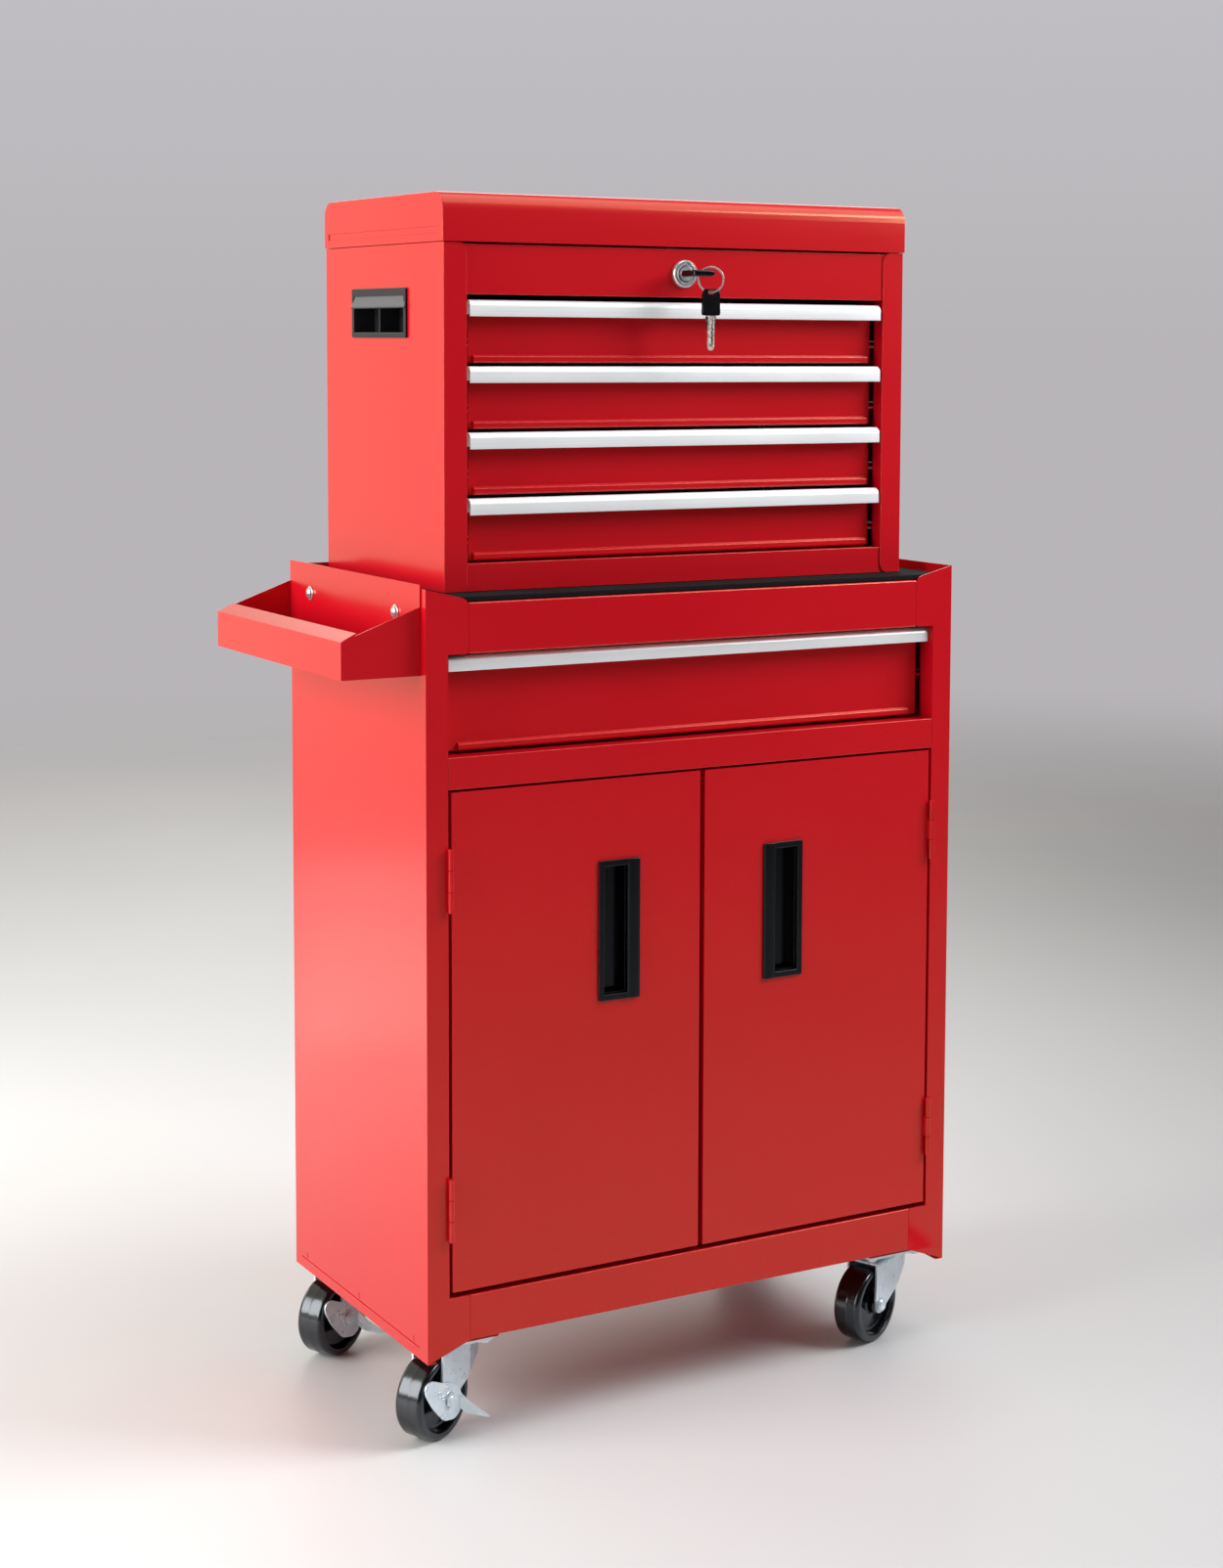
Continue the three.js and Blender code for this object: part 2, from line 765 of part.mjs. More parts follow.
const chestNumbers = Array.from({ length: chestDrawers }, (_, index) => index + 1);
for (const number of chestNumbers) {
  const top = chestDrawerTop(number);
  piece(cart, `drawer_${number}_box`, drawerBox({
    top,
    bottom: chestDrawerBottom(number),
    face: chestFace,
    faceHalf: chestOpenHalf - chestFaceSideGap,
    lipEnd: chestLipEnd,
    sideHalf: chestSideHalf,
    back: chestBoxBack,
    wallDrop: chestWallDrop,
    runnerRise: chestRunnerRise,
  }), redPaint);
  piece(cart, `drawer_${number}_pull`, drawerPull({
    top,
    face: chestFace,
    front: chestFront - chestPullLead,
    height: pullHeight,
    halfLength: chestOpenHalf - pullEndGap,
  }), aluminium);
}

const widePullTop = openTop - widePullDrop;
const wideBottom = midTop + wideFaceRise;
const wideBack = backFace - boxRearGap;
piece(cart, 'wide_drawer_box', drawerBox({
  top: widePullTop,
  bottom: wideBottom,
  face: wideFaceRecess,
  faceHalf: openHalf - wideFaceSideGap,
  lipEnd: wideLipEnd,
  sideHalf: wideSideHalf,
  back: wideBack,
  wallDrop: wideWallDrop,
  runnerRise: wideRunnerRise,
}), redPaint);
piece(cart, 'wide_drawer_pull', drawerPull({
  top: widePullTop,
  face: wideFaceRecess,
  front: widePullRecess,
  height: widePullHeight,
  halfLength: openHalf - pullEndGap,
}), aluminium);

// The chest's four rails on one side hang on two uprights.
function chestRails(side) {
  const wall = chestInnerHalf;
  const ends = [chestFront + chestReturn + runningGap, chestBack - sheet - railEndGap];
  const heights = [chestDrawers, 1].map(chestRunner);
  const uprights = [[ends[0], ends[0] + uprightWidth], [ends[1] - uprightWidth, ends[1]]];
  return join(
    uprights.map((depths) => block(across(side, wall - sheet, wall), depths, heights)),
    chestNumbers.map((number) => drawerRail(side, {
      wall,
      sideHalf: chestSideHalf,
      front: ends[0],
      back: ends[1],
      runner: chestRunner(number),
    })));
}

piece(cart, 'chest_rails_left', chestRails(-1), zincPlate);
piece(cart, 'chest_rails_right', chestRails(1), zincPlate);

// Cabinet sides: each sheet carries its door's fixed hinge leaves and a rail of the
// wide drawer, all welded on.
function cabinetSide(side) {
  return join(
    sideSheet(side),
    hingeMiddles.map((middle) => fixedLeaf(side, middle)),
    drawerRail(side, {
      wall: half - sheet / 2,
      sideHalf: wideSideHalf,
      front: stileReturn + runningGap,
      back: backFace - railEndGap,
      runner: wideBottom + wideRunnerRise,
    }));
}

piece(cart, 'cabinet_side_left', cut(cabinetSide(-1), boltHoles()), redPaint);
piece(cart, 'cabinet_side_right', cabinetSide(1), redPaint);

// Chest body: a wrapped sheet, a floor with the lower rail, the lock panel and the till
const handleDepths = [chestFront + handleFront, chestFront + handleFront + handleLength];
const handleHeights = [railTopAt(chestRunner(1)) + handleRailGap, chestTop - handleBelowTop];
const pocketDepths = [handleDepths[0] + handleBezel, handleDepths[1] - handleBezel];
const pocketHeights = [handleHeights[0] + handleBezel, handleHeights[1] - handleTopBand];

function chestStileShape(side) {
  const quarter = Math.PI / 2;
  const high = [chestOpenHalf + chestCorner, chestTop - chestCorner];
  const low = [chestOpenHalf + chestCorner, chestBottom + chestCorner];
  return slab('y', sided(side, [
    [chestHalf, chestBottom],
    [chestHalf, chestTop],
    ...arc(high, chestCorner, quarter, 2 * quarter, arcSteps),
    ...arc(low, chestCorner, 2 * quarter, 3 * quarter, arcSteps),
  ]), [chestFront, chestFront + sheet]);
}

function chestSide(side) {
  const heights = [chestBottom, chestTop];
  const wall = block(across(side, chestHalf - sheet, chestHalf), [chestFront, chestBack], heights);
  const handleHole = block(
    across(side, chestHalf - overrun, chestHalf + overrun), pocketDepths, pocketHeights);
  const stileFold = block(
    across(side, chestOpenHalf, chestOpenHalf + sheet),
    [chestFront, chestFront + chestReturn],
    [chestOpenBottom, chestOpenTop]);
  const topFold = block(
    across(side, chestHalf - chestFold, chestHalf),
    [chestFront + chestReturn, chestBack],
    [chestTop - sheet, chestTop]);
  return join(cut(wall, handleHole), chestStileShape(side), stileFold, topFold);
}

piece(cart, 'chest_wrap', join(
  chestSide(-1),
  chestSide(1),
  block([-chestHalf, chestHalf], [chestBack - sheet, chestBack], [chestBottom, chestTop]),
  block(
    [-chestHalf, chestHalf],
    [chestBack - chestFold, chestBack],
    [chestTop - sheet, chestTop])), redPaint);

const chestInsideBack = chestBack - sheet - gap;
const chestRailFace = [lockBack, lockBack + sheet];
piece(cart, 'chest_floor', join(
  block(
    [-chestInnerHalf, chestInnerHalf],
    [lockBack, chestInsideBack],
    [chestBottom, chestBottom + sheet]),
  block(
    [-chestInnerHalf, chestInnerHalf], chestRailFace, [chestBottom, chestOpenBottom - gap]),
  block(
    [-chestOpenHalf + gap, chestOpenHalf - gap],
    [lockBack, chestFace - gap],
    [chestOpenBottom - gap - sheet, chestOpenBottom - gap])), redPaint);

const lockPanelBottom = chestOpenTop + gap;
const lockPanelTop = chestTop - sheet - gap;
const bezelFront = lockBack - gap - bezelProud;
const barrelBack = lockBack + barrelLength;
const lockCentre = [0, lockHeight];
const lockHole = rod(
  'y', lockCentre, barrelRadius + gap, [lockBack - overrun, lockBack + overrun], roundSides);
piece(cart, 'lock_panel', cut(join(
  block([-chestInnerHalf, chestInnerHalf], chestRailFace, [lockPanelBottom, lockPanelTop]),
  block(
    [-chestInnerHalf, chestInnerHalf],
    [lockBack, lockBack + hem],
    [lockPanelTop - sheet, lockPanelTop]),
  block(
    [-chestOpenHalf + gap, chestOpenHalf - gap],
    [lockBack, lockBack + chestFold],
    [lockPanelBottom, lockPanelBottom + sheet])), lockHole), redPaint);

piece(cart, 'till_floor', block(
  [-chestInnerHalf, chestInnerHalf],
  [lockBack + sheet + gap, chestInsideBack],
  [lockPanelBottom + tillDrop, lockPanelBottom + tillDrop + sheet]), redPaint);

// Recessed carrying handles in the chest's sides
function chestHandle(side) {
  const outside = chestHalf + gap;
  const rim = block(across(side, outside, outside + handleProud), handleDepths, handleHeights);
  const pocket = block(
    across(side, outside - handlePocketDepth, outside + handleProud),
    [pocketDepths[0] + gap, pocketDepths[1] - gap],
    [pocketHeights[0] + gap, pocketHeights[1] - gap]);
  const wall = gap + gripWall;
  const hollowDepths = [pocketDepths[0] + wall, pocketDepths[1] - wall];
  const hollow = block(
    across(side, outside - handlePocketDepth + gripWall, outside + handleProud + overrun),
    hollowDepths,
    [pocketHeights[0] + wall, pocketHeights[1] - wall]);
  const browTop = pocketHeights[1] - wall + gripWall;
  const browBottom = handleHeights[1] - handleBrowDrop;
  const browFace = outside + handleProud;
  const brow = slab('y', sided(side, [
    [browFace, browTop],
    [browFace + handleBrowLean, browBottom],
    [browFace + handleBrowLean - handleBrowThickness, browBottom],
    [browFace - handleBrowThickness, browTop],
  ]), [hollowDepths[0] - gripWall / 2, hollowDepths[1] + gripWall / 2]);
  const middle = (pocketDepths[0] + pocketDepths[1]) / 2;
  const rib = block(
    across(side, outside - handlePocketDepth, outside),
    [middle - handleRibThickness / 2, middle + handleRibThickness / 2],
    [pocketHeights[0] + gap, pocketHeights[1] - gap]);
  return join(cut(join(rim, pocket), hollow), brow, rib);
}

piece(cart, 'chest_handle_left', chestHandle(-1), blackPlastic);
piece(cart, 'chest_handle_right', chestHandle(1), blackPlastic);

// Lid with its lock keeper, and the hinge behind it
function lidOutline(inset, bottom) {
  const quarter = Math.PI / 2;
  const radius = lidRound - inset;
  const front = lidFront + inset;
  const back = lidBack - inset;
  const top = lidTop - inset;
  return [
    [front, bottom],
    [back, bottom],
    ...arc([back - radius, top - radius], radius, 0, quarter, arcSteps),
    ...arc([front + radius, top - radius], radius, quarter, 2 * quarter, arcSteps),
  ];
}

function lidKeeper() {
  const xs = [keeperOffset, keeperOffset + keeperWidth];
  const drop = keeperSetback;
  const bracketTop = lidBottom + lidHeight / 2;
  const bracketLow = lidBottom + hem;
  const foot = lockHeight - camWidth / 2 - keeperSlack;
  return join(
    block(xs, [lidFront + sheet / 2, lidFront + 2 * sheet], [bracketLow, bracketTop]),
    block(xs, [lidFront + sheet, drop + sheet], [bracketLow, bracketLow + sheet]),
    block(xs, [drop, drop + sheet], [foot, bracketLow + sheet]),
    block(xs, [drop, drop + keeperFoot], [foot - sheet, foot]));
}

piece(cart, 'lid', join(
  cut(
    slab('x', lidOutline(0, lidBottom), [-lidHalf, lidHalf]),
    slab('x', lidOutline(sheet, lidBottom - overrun), [-lidHalf + sheet, lidHalf - sheet])),
  lidKeeper()), redPaint);

// One leaf of the lid hinge. The fixed leaf has the even knuckles and the moving leaf
// the odd ones, and each knuckle hangs on its leaf by a short folded link.
function lidLeaf(first, back, heights, linkHeight) {
  const pitch = lidHingeLength / lidKnuckles;
  const plate = [back, back + leafThickness];
  const riser = [Math.min(linkHeight, ...heights), Math.max(linkHeight, ...heights)];
  const knuckles = [];
  for (let number = first; number < lidKnuckles; number += 2) {
    const ends = middleBand((number + 1 / 2 - lidKnuckles / 2) * pitch, pitch - knuckleGap);
    knuckles.push(
      rod('x', lidAxis, lidKnuckleRadius, ends),
      block(ends, [back, lidAxis[0]], middleBand(linkHeight, leafThickness)),
      block(ends, plate, riser));
  }
  return cut(
    join(block(middleBand(0, lidHingeLength), plate, heights), knuckles),
    rod('x', lidAxis, lidPinBore, middleBand(0, lidHingeLength + overrun)));
}

const leafClear = lidKnuckleRadius + runningGap;
piece(cart, 'lid_hinge_fixed_leaf', lidLeaf(
  0,
  chestBack + gap,
  [lidAxis[1] - leafClear - lidLeafHeight, lidAxis[1] - leafClear],
  lidAxis[1] - lidKnuckleRadius + leafThickness / 2), zincPlate);
piece(cart, 'lid_hinge_moving_leaf', lidLeaf(
  1,
  lidLeafBack,
  [lidAxis[1] + leafClear, lidAxis[1] + leafClear + lidLeafHeight],
  lidAxis[1] + lidKnuckleRadius - leafThickness / 2), zincPlate);
piece(cart, 'lid_hinge_pin', rod('x', lidAxis, lidPinRadius, middleBand(0, lidHingeLength)), zincPlate);

// Lock, with a key in it and a spare on the ring
const nutEnds = [lockBack + sheet + gap, lockBack + sheet + gap + lockNutThickness];
piece(cart, 'lock_barrel', cut(
  join(
    rod('y', lockCentre, bezelRadius, [bezelFront, lockBack - gap], roundSides),
    rod('y', lockCentre, barrelRadius, [bezelFront, barrelBack], roundSides),
    slab('y', circle(lockCentre, lockNutRadius, hexSides), nutEnds)),
  rod('y', lockCentre, barrelBore, [bezelFront - overrun, barrelBack + overrun], roundSides)), chrome);

const camStart = barrelBack + gap;
const plugFront = bezelFront - plugProud;
const slotEnd = plugFront + keySlotDepth;
piece(cart, 'lock_plug', cut(
  join(
    rod('y', lockCentre, plugRadius, [plugFront, camStart + camThickness], roundSides),
    block(
      [-camWidth / 2, camWidth / 2],
      [camStart, camStart + camThickness],
      [lockHeight - plugRadius, lockHeight + camLength])),
  block(
    [-keySlotWidth / 2, keySlotWidth / 2],
    [plugFront - overrun, slotEnd],
    [lockHeight - keySlotHeight / 2, lockHeight + keySlotHeight / 2])), chrome);

const bowBack = plugFront - keyBowStandOff;
const bowFront = bowBack - keyBowLength;
const bowHole = [0, bowFront + keyHoleInset];

function roundedPlate([x0, x1], [y0, y1], radius) {
  const quarter = Math.PI / 2;
  return [
    ...arc([x1 - radius, y0 + radius], radius, -quarter, 0, arcSteps - 2),
    ...arc([x1 - radius, y1 - radius], radius, 0, quarter, arcSteps - 2),
    ...arc([x0 + radius, y1 - radius], radius, quarter, 2 * quarter, arcSteps - 2),
    ...arc([x0 + radius, y0 + radius], radius, 2 * quarter, 3 * quarter, arcSteps - 2),
  ];
}

piece(cart, 'key', cut(
  join(
    slab(
      'z',
      roundedPlate([-keyBowWidth / 2, keyBowWidth / 2], [bowFront, bowBack], keyBowCorner),
      middleBand(lockHeight, keyBowThickness)),
    block(
      [-keyBladeWidth / 2, keyBladeWidth / 2],
      [bowBack - keyBowCorner, slotEnd - runningGap],
      middleBand(lockHeight, keyBladeThickness))),
  rod(
    'z', bowHole, keyHoleRadius, [lockHeight - keyBowThickness, lockHeight + keyBowThickness])),
blackPlastic);

// The ring hangs from the key's hole and passes outside the bow's corner.
const ringCentre = [
  bowHole[0] + ringReach * Math.cos(ringTurn),
  bowHole[1] + ringReach * Math.sin(ringTurn),
  lockHeight - ringDrop,
];
const ringGeometry = new THREE.TorusGeometry(ringRadius, ringWire, hexSides, roundSides);
ringGeometry.rotateX(Math.PI / 2).rotateZ(ringTurn).translate(...ringCentre);
piece(cart, 'key_ring', toSolid(ringGeometry), chrome);

const spare = new THREE.Group();
spare.position.set(...ringCentre);
spare.position.z -= ringRadius;
spare.rotation.z = spareTurn;
cart.add(spare);
const spareHole = [0, spareHang - spareHoleRadius];
const spareTop = spareHole[1] + spareHoleBelowTop;
const spareNeck = spareTop - spareHeadHeight;
piece(spare, 'spare_key', join(
  cut(
    slab(
      'y',
      roundedPlate([-spareHeadWidth / 2, spareHeadWidth / 2], [spareNeck, spareTop], keyBowCorner),
      middleBand(0, spareHeadThickness)),
    rod('y', spareHole, spareHoleRadius, [-spareHeadThickness, spareHeadThickness], roundSides)),
  slab('y', [
    [-spareBladeWidth / 2, spareNeck + keyBowCorner],
    [-spareBladeWidth / 2, spareNeck - spareBladeLength + spareBladeWidth / 2],
    [0, spareNeck - spareBladeLength],
    [spareBladeWidth / 2, spareNeck - spareBladeLength + spareBladeWidth / 2],
    [spareBladeWidth / 2, spareNeck + keyBowCorner],
  ], middleBand(0, spareBladeThickness))), blackPlastic);

// Casters: the plates are fixed, the forks swivel, the wheels roll and two have brakes
const forkTop = plateTop - plateThickness - raceHeight - gap;
const forkUnder = forkTop - forkThickness;
const casters = [
  { name: 'front_left', side: -1, depth: casterFrontInset, turn: frontLeftTurn, brake: true },
  { name: 'front_right', side: 1, depth: casterFrontInset, turn: frontRightTurn, brake: false },
  {
    name: 'rear_left',
    side: -1,
    depth: cabinetDepth - casterRearInset,
    turn: rearLeftTurn,
    brake: true,
  },
  {
    name: 'rear_right',
    side: 1,
    depth: cabinetDepth - casterRearInset,
    turn: rearRightTurn,
    brake: false,
  },
];

function casterPlate(side, depth) {
  const centre = [side * casterAcross, depth];
  const headTop = forkUnder - gap;
  return join(
    block(
      middleBand(side * casterAcross, plateLength),
      middleBand(depth, plateWidth),
      [plateTop - plateThickness, plateTop]),
    rod('z', centre, raceRadius, [forkTop + gap, plateTop - plateThickness], roundSides),
    rod('z', centre, kingpinRadius, [headTop - kingpinHeadHeight, plateTop - plateThickness]),
    rod('z', centre, kingpinHead, [headTop - kingpinHeadHeight, headTop]));
}

// In a caster's own frame x points to the caster's nose and the wheel trails behind.
const axlePlace = [-casterTrail, wheelRadius];

function cheek(side) {
  const outline = [
    [-forkTail, forkTop],
    ...arc(axlePlace, forkEnd, Math.PI, Math.PI + forkEndTurn, arcSteps),
    [forkWaistReach, forkTop - forkWaistDrop],
    [forkNose - forkThickness, forkTop - forkShoulderDrop],
    [forkNose, forkTop],
  ];
  const plate = slab('y', outline, across(side, forkHalf, forkHalf + forkThickness));
  const bore = rod(
    'y', axlePlace, axleBore, across(side, forkHalf - overrun, forkHalf + forkThickness + overrun));
  return cut(plate, bore);
}

function fork() {
  const crown = block(
    [-forkTail, forkNose],
    [-forkHalf - forkThickness, forkHalf + forkThickness],
    [forkUnder, forkTop]);
  const bore = rod('z', [0, 0], kingpinBore, [forkUnder - overrun, forkTop + overrun]);
  return join(cut(crown, bore), cheek(-1), cheek(1));
}

function wheel() {
  const radius = wheelRadius / Math.cos(Math.PI / wheelSides);
  const halfWidth = wheelWidth / 2;
  const profile = [
    [axleBore, -wheelHubHalf],
    [wheelHubRadius, -wheelHubHalf],
    [wheelHubRadius, -wheelWebHalf],
    [wheelRimRadius, -wheelWebHalf],
    [wheelRimRadius, -halfWidth],
    [radius - wheelChamfer, -halfWidth],
    [radius, -halfWidth + wheelChamfer],
    [radius, halfWidth - wheelChamfer],
    [radius - wheelChamfer, halfWidth],
    [wheelRimRadius, halfWidth],
    [wheelRimRadius, wheelWebHalf],
    [wheelHubRadius, wheelWebHalf],
    [wheelHubRadius, wheelHubHalf],
    [axleBore, wheelHubHalf],
    [axleBore, -wheelHubHalf],
  ].map(([a, b]) => new THREE.Vector2(a, b));
  const geometry = new THREE.LatheGeometry(profile, wheelSides);
  // Half a facet's turn stands the wheel on a flat instead of a corner.
  geometry.rotateY(Math.PI / wheelSides).translate(axlePlace[0], 0, axlePlace[1]);
  return toSolid(geometry);
}

// Seen from its nut, an axle passes the near cheek, the wheel and the far cheek.
function axle(brake) {
  const leverRoom = brake ? leverThickness + 2 * gap : 0;
  const cheekFace = forkHalf + forkThickness + gap;
  const nearEnd = -cheekFace - leverRoom - gap;
  return join(
    rod('y', axlePlace, axleRadius, [nearEnd - axleHeadThickness, cheekFace + axleHeadThickness]),
    slab('y', circle(axlePlace, axleHeadRadius, hexSides), [nearEnd, nearEnd - axleHeadThickness]),
    slab('y', circle(axlePlace, axleHeadRadius, hexSides), [cheekFace, cheekFace + axleHeadThickness]));
}

function brakeLever() {
  const [axleAcross, axleHeight] = axlePlace;
  const outer = -forkHalf - forkThickness - gap;
  const ends = [outer - leverThickness, outer];
  const at = (reach, rise) => [axleAcross + reach, axleHeight + rise];
  const leaf = slab('y', [
    at(-leverTail, leverTailRise - hem),
    at(-leverTail, leverTailRise - leverThickness),
    at(-leverTail + hem, leverTailRise),
    at(-hem, leverTailRise - hem),
    at(leverNose, hem / 2),
    at(leverNose, -leverDrop + hem / 2),
    at(leverNose - hem, -leverDrop),
    at(-hem, -leverDrop + hem / 2),
    at(-leverBack, 0),
  ], ends);
  const tab = slab('x', [
    [0, leverTabRise],
    [0, leverTabRise - leverTabRoot],
    [-hem, -leverTabTip],
    [-leverTabReach, -leverTabTip - leverThickness],
    [-leverTabReach, -leverTabTip],
  ], [-leverThickness, 0]).rotate(0, 0, THREE.MathUtils.radToDeg(leverTabTurn)).translate(
    axleAcross + leverNose - leverThickness, outer - leverThickness / 2, axleHeight);
  return cut(
    join(leaf, tab),
    rod('y', axlePlace, axleBore, [ends[0] - overrun, ends[1] + overrun]));
}

for (const { name, side, depth, turn, brake } of casters) {
  piece(cart, `caster_${name}_plate`, casterPlate(side, depth), zincPlate);
  const swivel = new THREE.Group();
  swivel.position.set(side * casterAcross, depth, 0);
  swivel.rotation.z = turn;
  cart.add(swivel);
  piece(swivel, `caster_${name}_fork`, fork(), zincPlate);
  piece(swivel, `caster_${name}_wheel`, wheel(), blackRubber);
  piece(swivel, `caster_${name}_axle`, axle(brake), zincPlate);
  if (brake) piece(swivel, `caster_${name}_brake`, brakeLever(), zincPlate);
}

// The origin goes to the middle of the bottom of the cart's box.
cart.updateMatrixWorld(true);
const box = new THREE.Box3().setFromObject(cart, true);
const boxMiddle = box.getCenter(new THREE.Vector3());
cart.position.set(-boxMiddle.x, -boxMiddle.y, -box.min.z);

export default cart;
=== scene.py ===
import json
import math

import bmesh
import bpy
from mathutils import Matrix, Vector

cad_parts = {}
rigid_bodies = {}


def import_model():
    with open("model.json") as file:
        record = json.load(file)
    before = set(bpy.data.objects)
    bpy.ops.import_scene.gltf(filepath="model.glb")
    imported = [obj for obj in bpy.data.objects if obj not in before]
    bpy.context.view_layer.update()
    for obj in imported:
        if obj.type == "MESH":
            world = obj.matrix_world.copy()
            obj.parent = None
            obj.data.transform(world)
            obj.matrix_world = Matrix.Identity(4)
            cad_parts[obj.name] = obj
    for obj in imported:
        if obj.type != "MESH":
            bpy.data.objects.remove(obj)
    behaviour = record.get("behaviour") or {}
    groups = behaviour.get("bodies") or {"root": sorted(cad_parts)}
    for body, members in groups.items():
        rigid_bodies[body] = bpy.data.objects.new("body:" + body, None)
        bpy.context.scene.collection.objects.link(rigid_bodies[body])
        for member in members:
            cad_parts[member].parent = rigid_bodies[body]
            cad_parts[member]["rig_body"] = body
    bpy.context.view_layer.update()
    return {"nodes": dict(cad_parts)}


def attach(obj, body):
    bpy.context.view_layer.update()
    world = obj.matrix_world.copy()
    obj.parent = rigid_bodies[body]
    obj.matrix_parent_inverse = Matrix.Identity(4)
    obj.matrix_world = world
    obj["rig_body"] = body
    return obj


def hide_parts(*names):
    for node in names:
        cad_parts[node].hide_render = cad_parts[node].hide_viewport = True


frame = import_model()
print("frame loaded:", len(frame["nodes"]), "nodes")

scene = bpy.context.scene
mm = 0.001
rowShift = (36.2, -146.0, 0.0)  # millimetres from the drawing's origin to the row's
sides = {"left": -1, "right": 1}
shift = Matrix.Translation


def link(name, data):
    holder = bpy.data.objects.new(name, data)
    scene.collection.objects.link(holder)
    return holder


# Camera

cameraValues = {
    "place": (-1193.8, -2015.5, 953.3),  # on the drawing, in millimetres
    "turn": 0.537,  # radians right of straight ahead
    "tip": -0.087,  # radians above level
    "roll": 0.006,
    "sensor": 36.0,
    "lens": 60.94,
    "shift": (-0.0628, -0.1349),
}


def makeCamera():
    values = cameraValues
    turn, tip, roll = values["turn"], values["tip"], values["roll"]
    ahead = Vector((
        math.sin(turn) * math.cos(tip), math.cos(turn) * math.cos(tip), math.sin(tip)))
    right = Vector((math.cos(turn), -math.sin(turn), 0))
    up = right.cross(ahead)
    across = math.cos(roll) * right + math.sin(roll) * up
    upright = -math.sin(roll) * right + math.cos(roll) * up
    camera = link("camera", bpy.data.cameras.new("camera"))
    camera.data.sensor_width = values["sensor"]
    camera.data.lens = values["lens"]
    camera.data.shift_x, camera.data.shift_y = values["shift"]
    spot = Vector([(part + add) * mm for part, add in zip(values["place"], rowShift)])
    turned = Matrix((across, upright, -ahead)).transposed().to_4x4()
    camera.matrix_world = shift(spot) @ turned
    scene.camera = camera


makeCamera()
print("camera placed")


# Nodes: a socket is given by its name or number, and its value is a link or a constant

def feed(tree, socket, value):
    if hasattr(value, "is_output"):
        tree.links.new(value, socket)
    else:
        socket.default_value = value


def addNode(tree, kind, inputs=(), **settings):
    node = tree.nodes.new(kind)
    for key, value in settings.items():
        setattr(node, key, value)
    for socket, value in inputs:
        feed(tree, node.inputs[socket], value)
    return node


def noise(tree, vector, scale, detail=2.0, roughness=0.5):
    return addNode(tree, "ShaderNodeTexNoise", [
        ("Vector", vector), ("Scale", scale), ("Detail", detail),
        ("Roughness", roughness)]).outputs["Fac"]


def math2(tree, operation, first, second, clamp=False):
    return addNode(
        tree, "ShaderNodeMath", [(0, first), (1, second)], operation=operation,
        use_clamp=clamp).outputs[0]


def share(tree, most, rest, part):
    # the rest gets its part of the sum, and the most what remains
    return math2(
        tree, "ADD", math2(tree, "MULTIPLY", most, 1 - part), math2(tree, "MULTIPLY", rest, part))


def spread(tree, value, *ends, smooth=False):
    # what lies between the first two ends is laid out between the last two, or from 0 to 1
    return addNode(
        tree, "ShaderNodeMapRange",
        [("Value", value), *zip(("From Min", "From Max", "To Min", "To Max"), ends)],
        interpolation_type="SMOOTHSTEP" if smooth else "LINEAR").outputs["Result"]


def along(tree, vector, way):
    return addNode(
        tree, "ShaderNodeVectorMath", [(0, vector), (1, way)],
        operation="DOT_PRODUCT").outputs["Value"]


def height(tree, vector):
    return addNode(tree, "ShaderNodeSeparateXYZ", [("Vector", vector)]).outputs["Z"]


def mixColours(tree, factor, first, second):
    ends = [
        colour if hasattr(colour, "is_output") else (*colour, 1) for colour in (first, second)]
    return addNode(
        tree, "ShaderNodeMix", [("Factor", factor), (6, ends[0]), (7, ends[1])],
        data_type="RGBA").outputs[2]


# Light and floor

studio = {
    "wallColour": (0.482, 0.462, 0.482),  # what the camera sees behind the cart
    "wallTopColour": (0.57, 0.563, 0.60),
    "wallRise": (0.0, 0.24),  # the wall grows paler between these heights of view
    "brightSide": (1.0, 0.96, 0.90),
    "brightMirrored": (1.0, 0.90, 0.74),  # the same side as the shiny pieces see it
    "brightStrength": 0.92,
    "darkSide": (0.90, 0.93, 1.0),
    "darkStrength": 0.06,
    "brightWay": (-0.55, 0.82, 0.0),  # the room is bright this way and dim the other
    "brightReach": (-0.35, 0.75),  # from dim to bright, along that way
    "lights": [
        # name, place, aim, size, watts, colour; metres, from the middle of the cart's foot
        ("softLeft", (-3.0, 0.2, 1.5), (0, 0, 0.5), (2.2, 2.0), 106, (1.0, 0.965, 0.92)),
        ("softTop", (0.7, -0.6, 3.1), (0, 0, 0.4), (2.4, 2.0), 33, (1.0, 1.0, 1.0)),
        ("softFront", (1.8, -1.15, 1.95), (0, 0, 0.6), (1.3, 1.3), 63, (0.97, 0.98, 1.0)),
        ("softBack", (1.2, 2.8, 2.0), (0, 0, 0.6), (2.0, 1.4), 12, (1.0, 1.0, 1.0)),
        ("glowBehind", (-0.70, 1.02, 0.15), (-0.25, -0.06, 0.42), (0.2, 0.24), 0.12,
         (1.0, 0.97, 0.95)),
        ("floorGlow", (-0.95, 1.1, 0.55), (-0.95, 1.1, 0.0), (0.8, 0.8), 4.0, (1.0, 0.96, 0.92)),
    ],
}


def dimmed(colour, strength):
    return tuple(strength * part for part in colour)


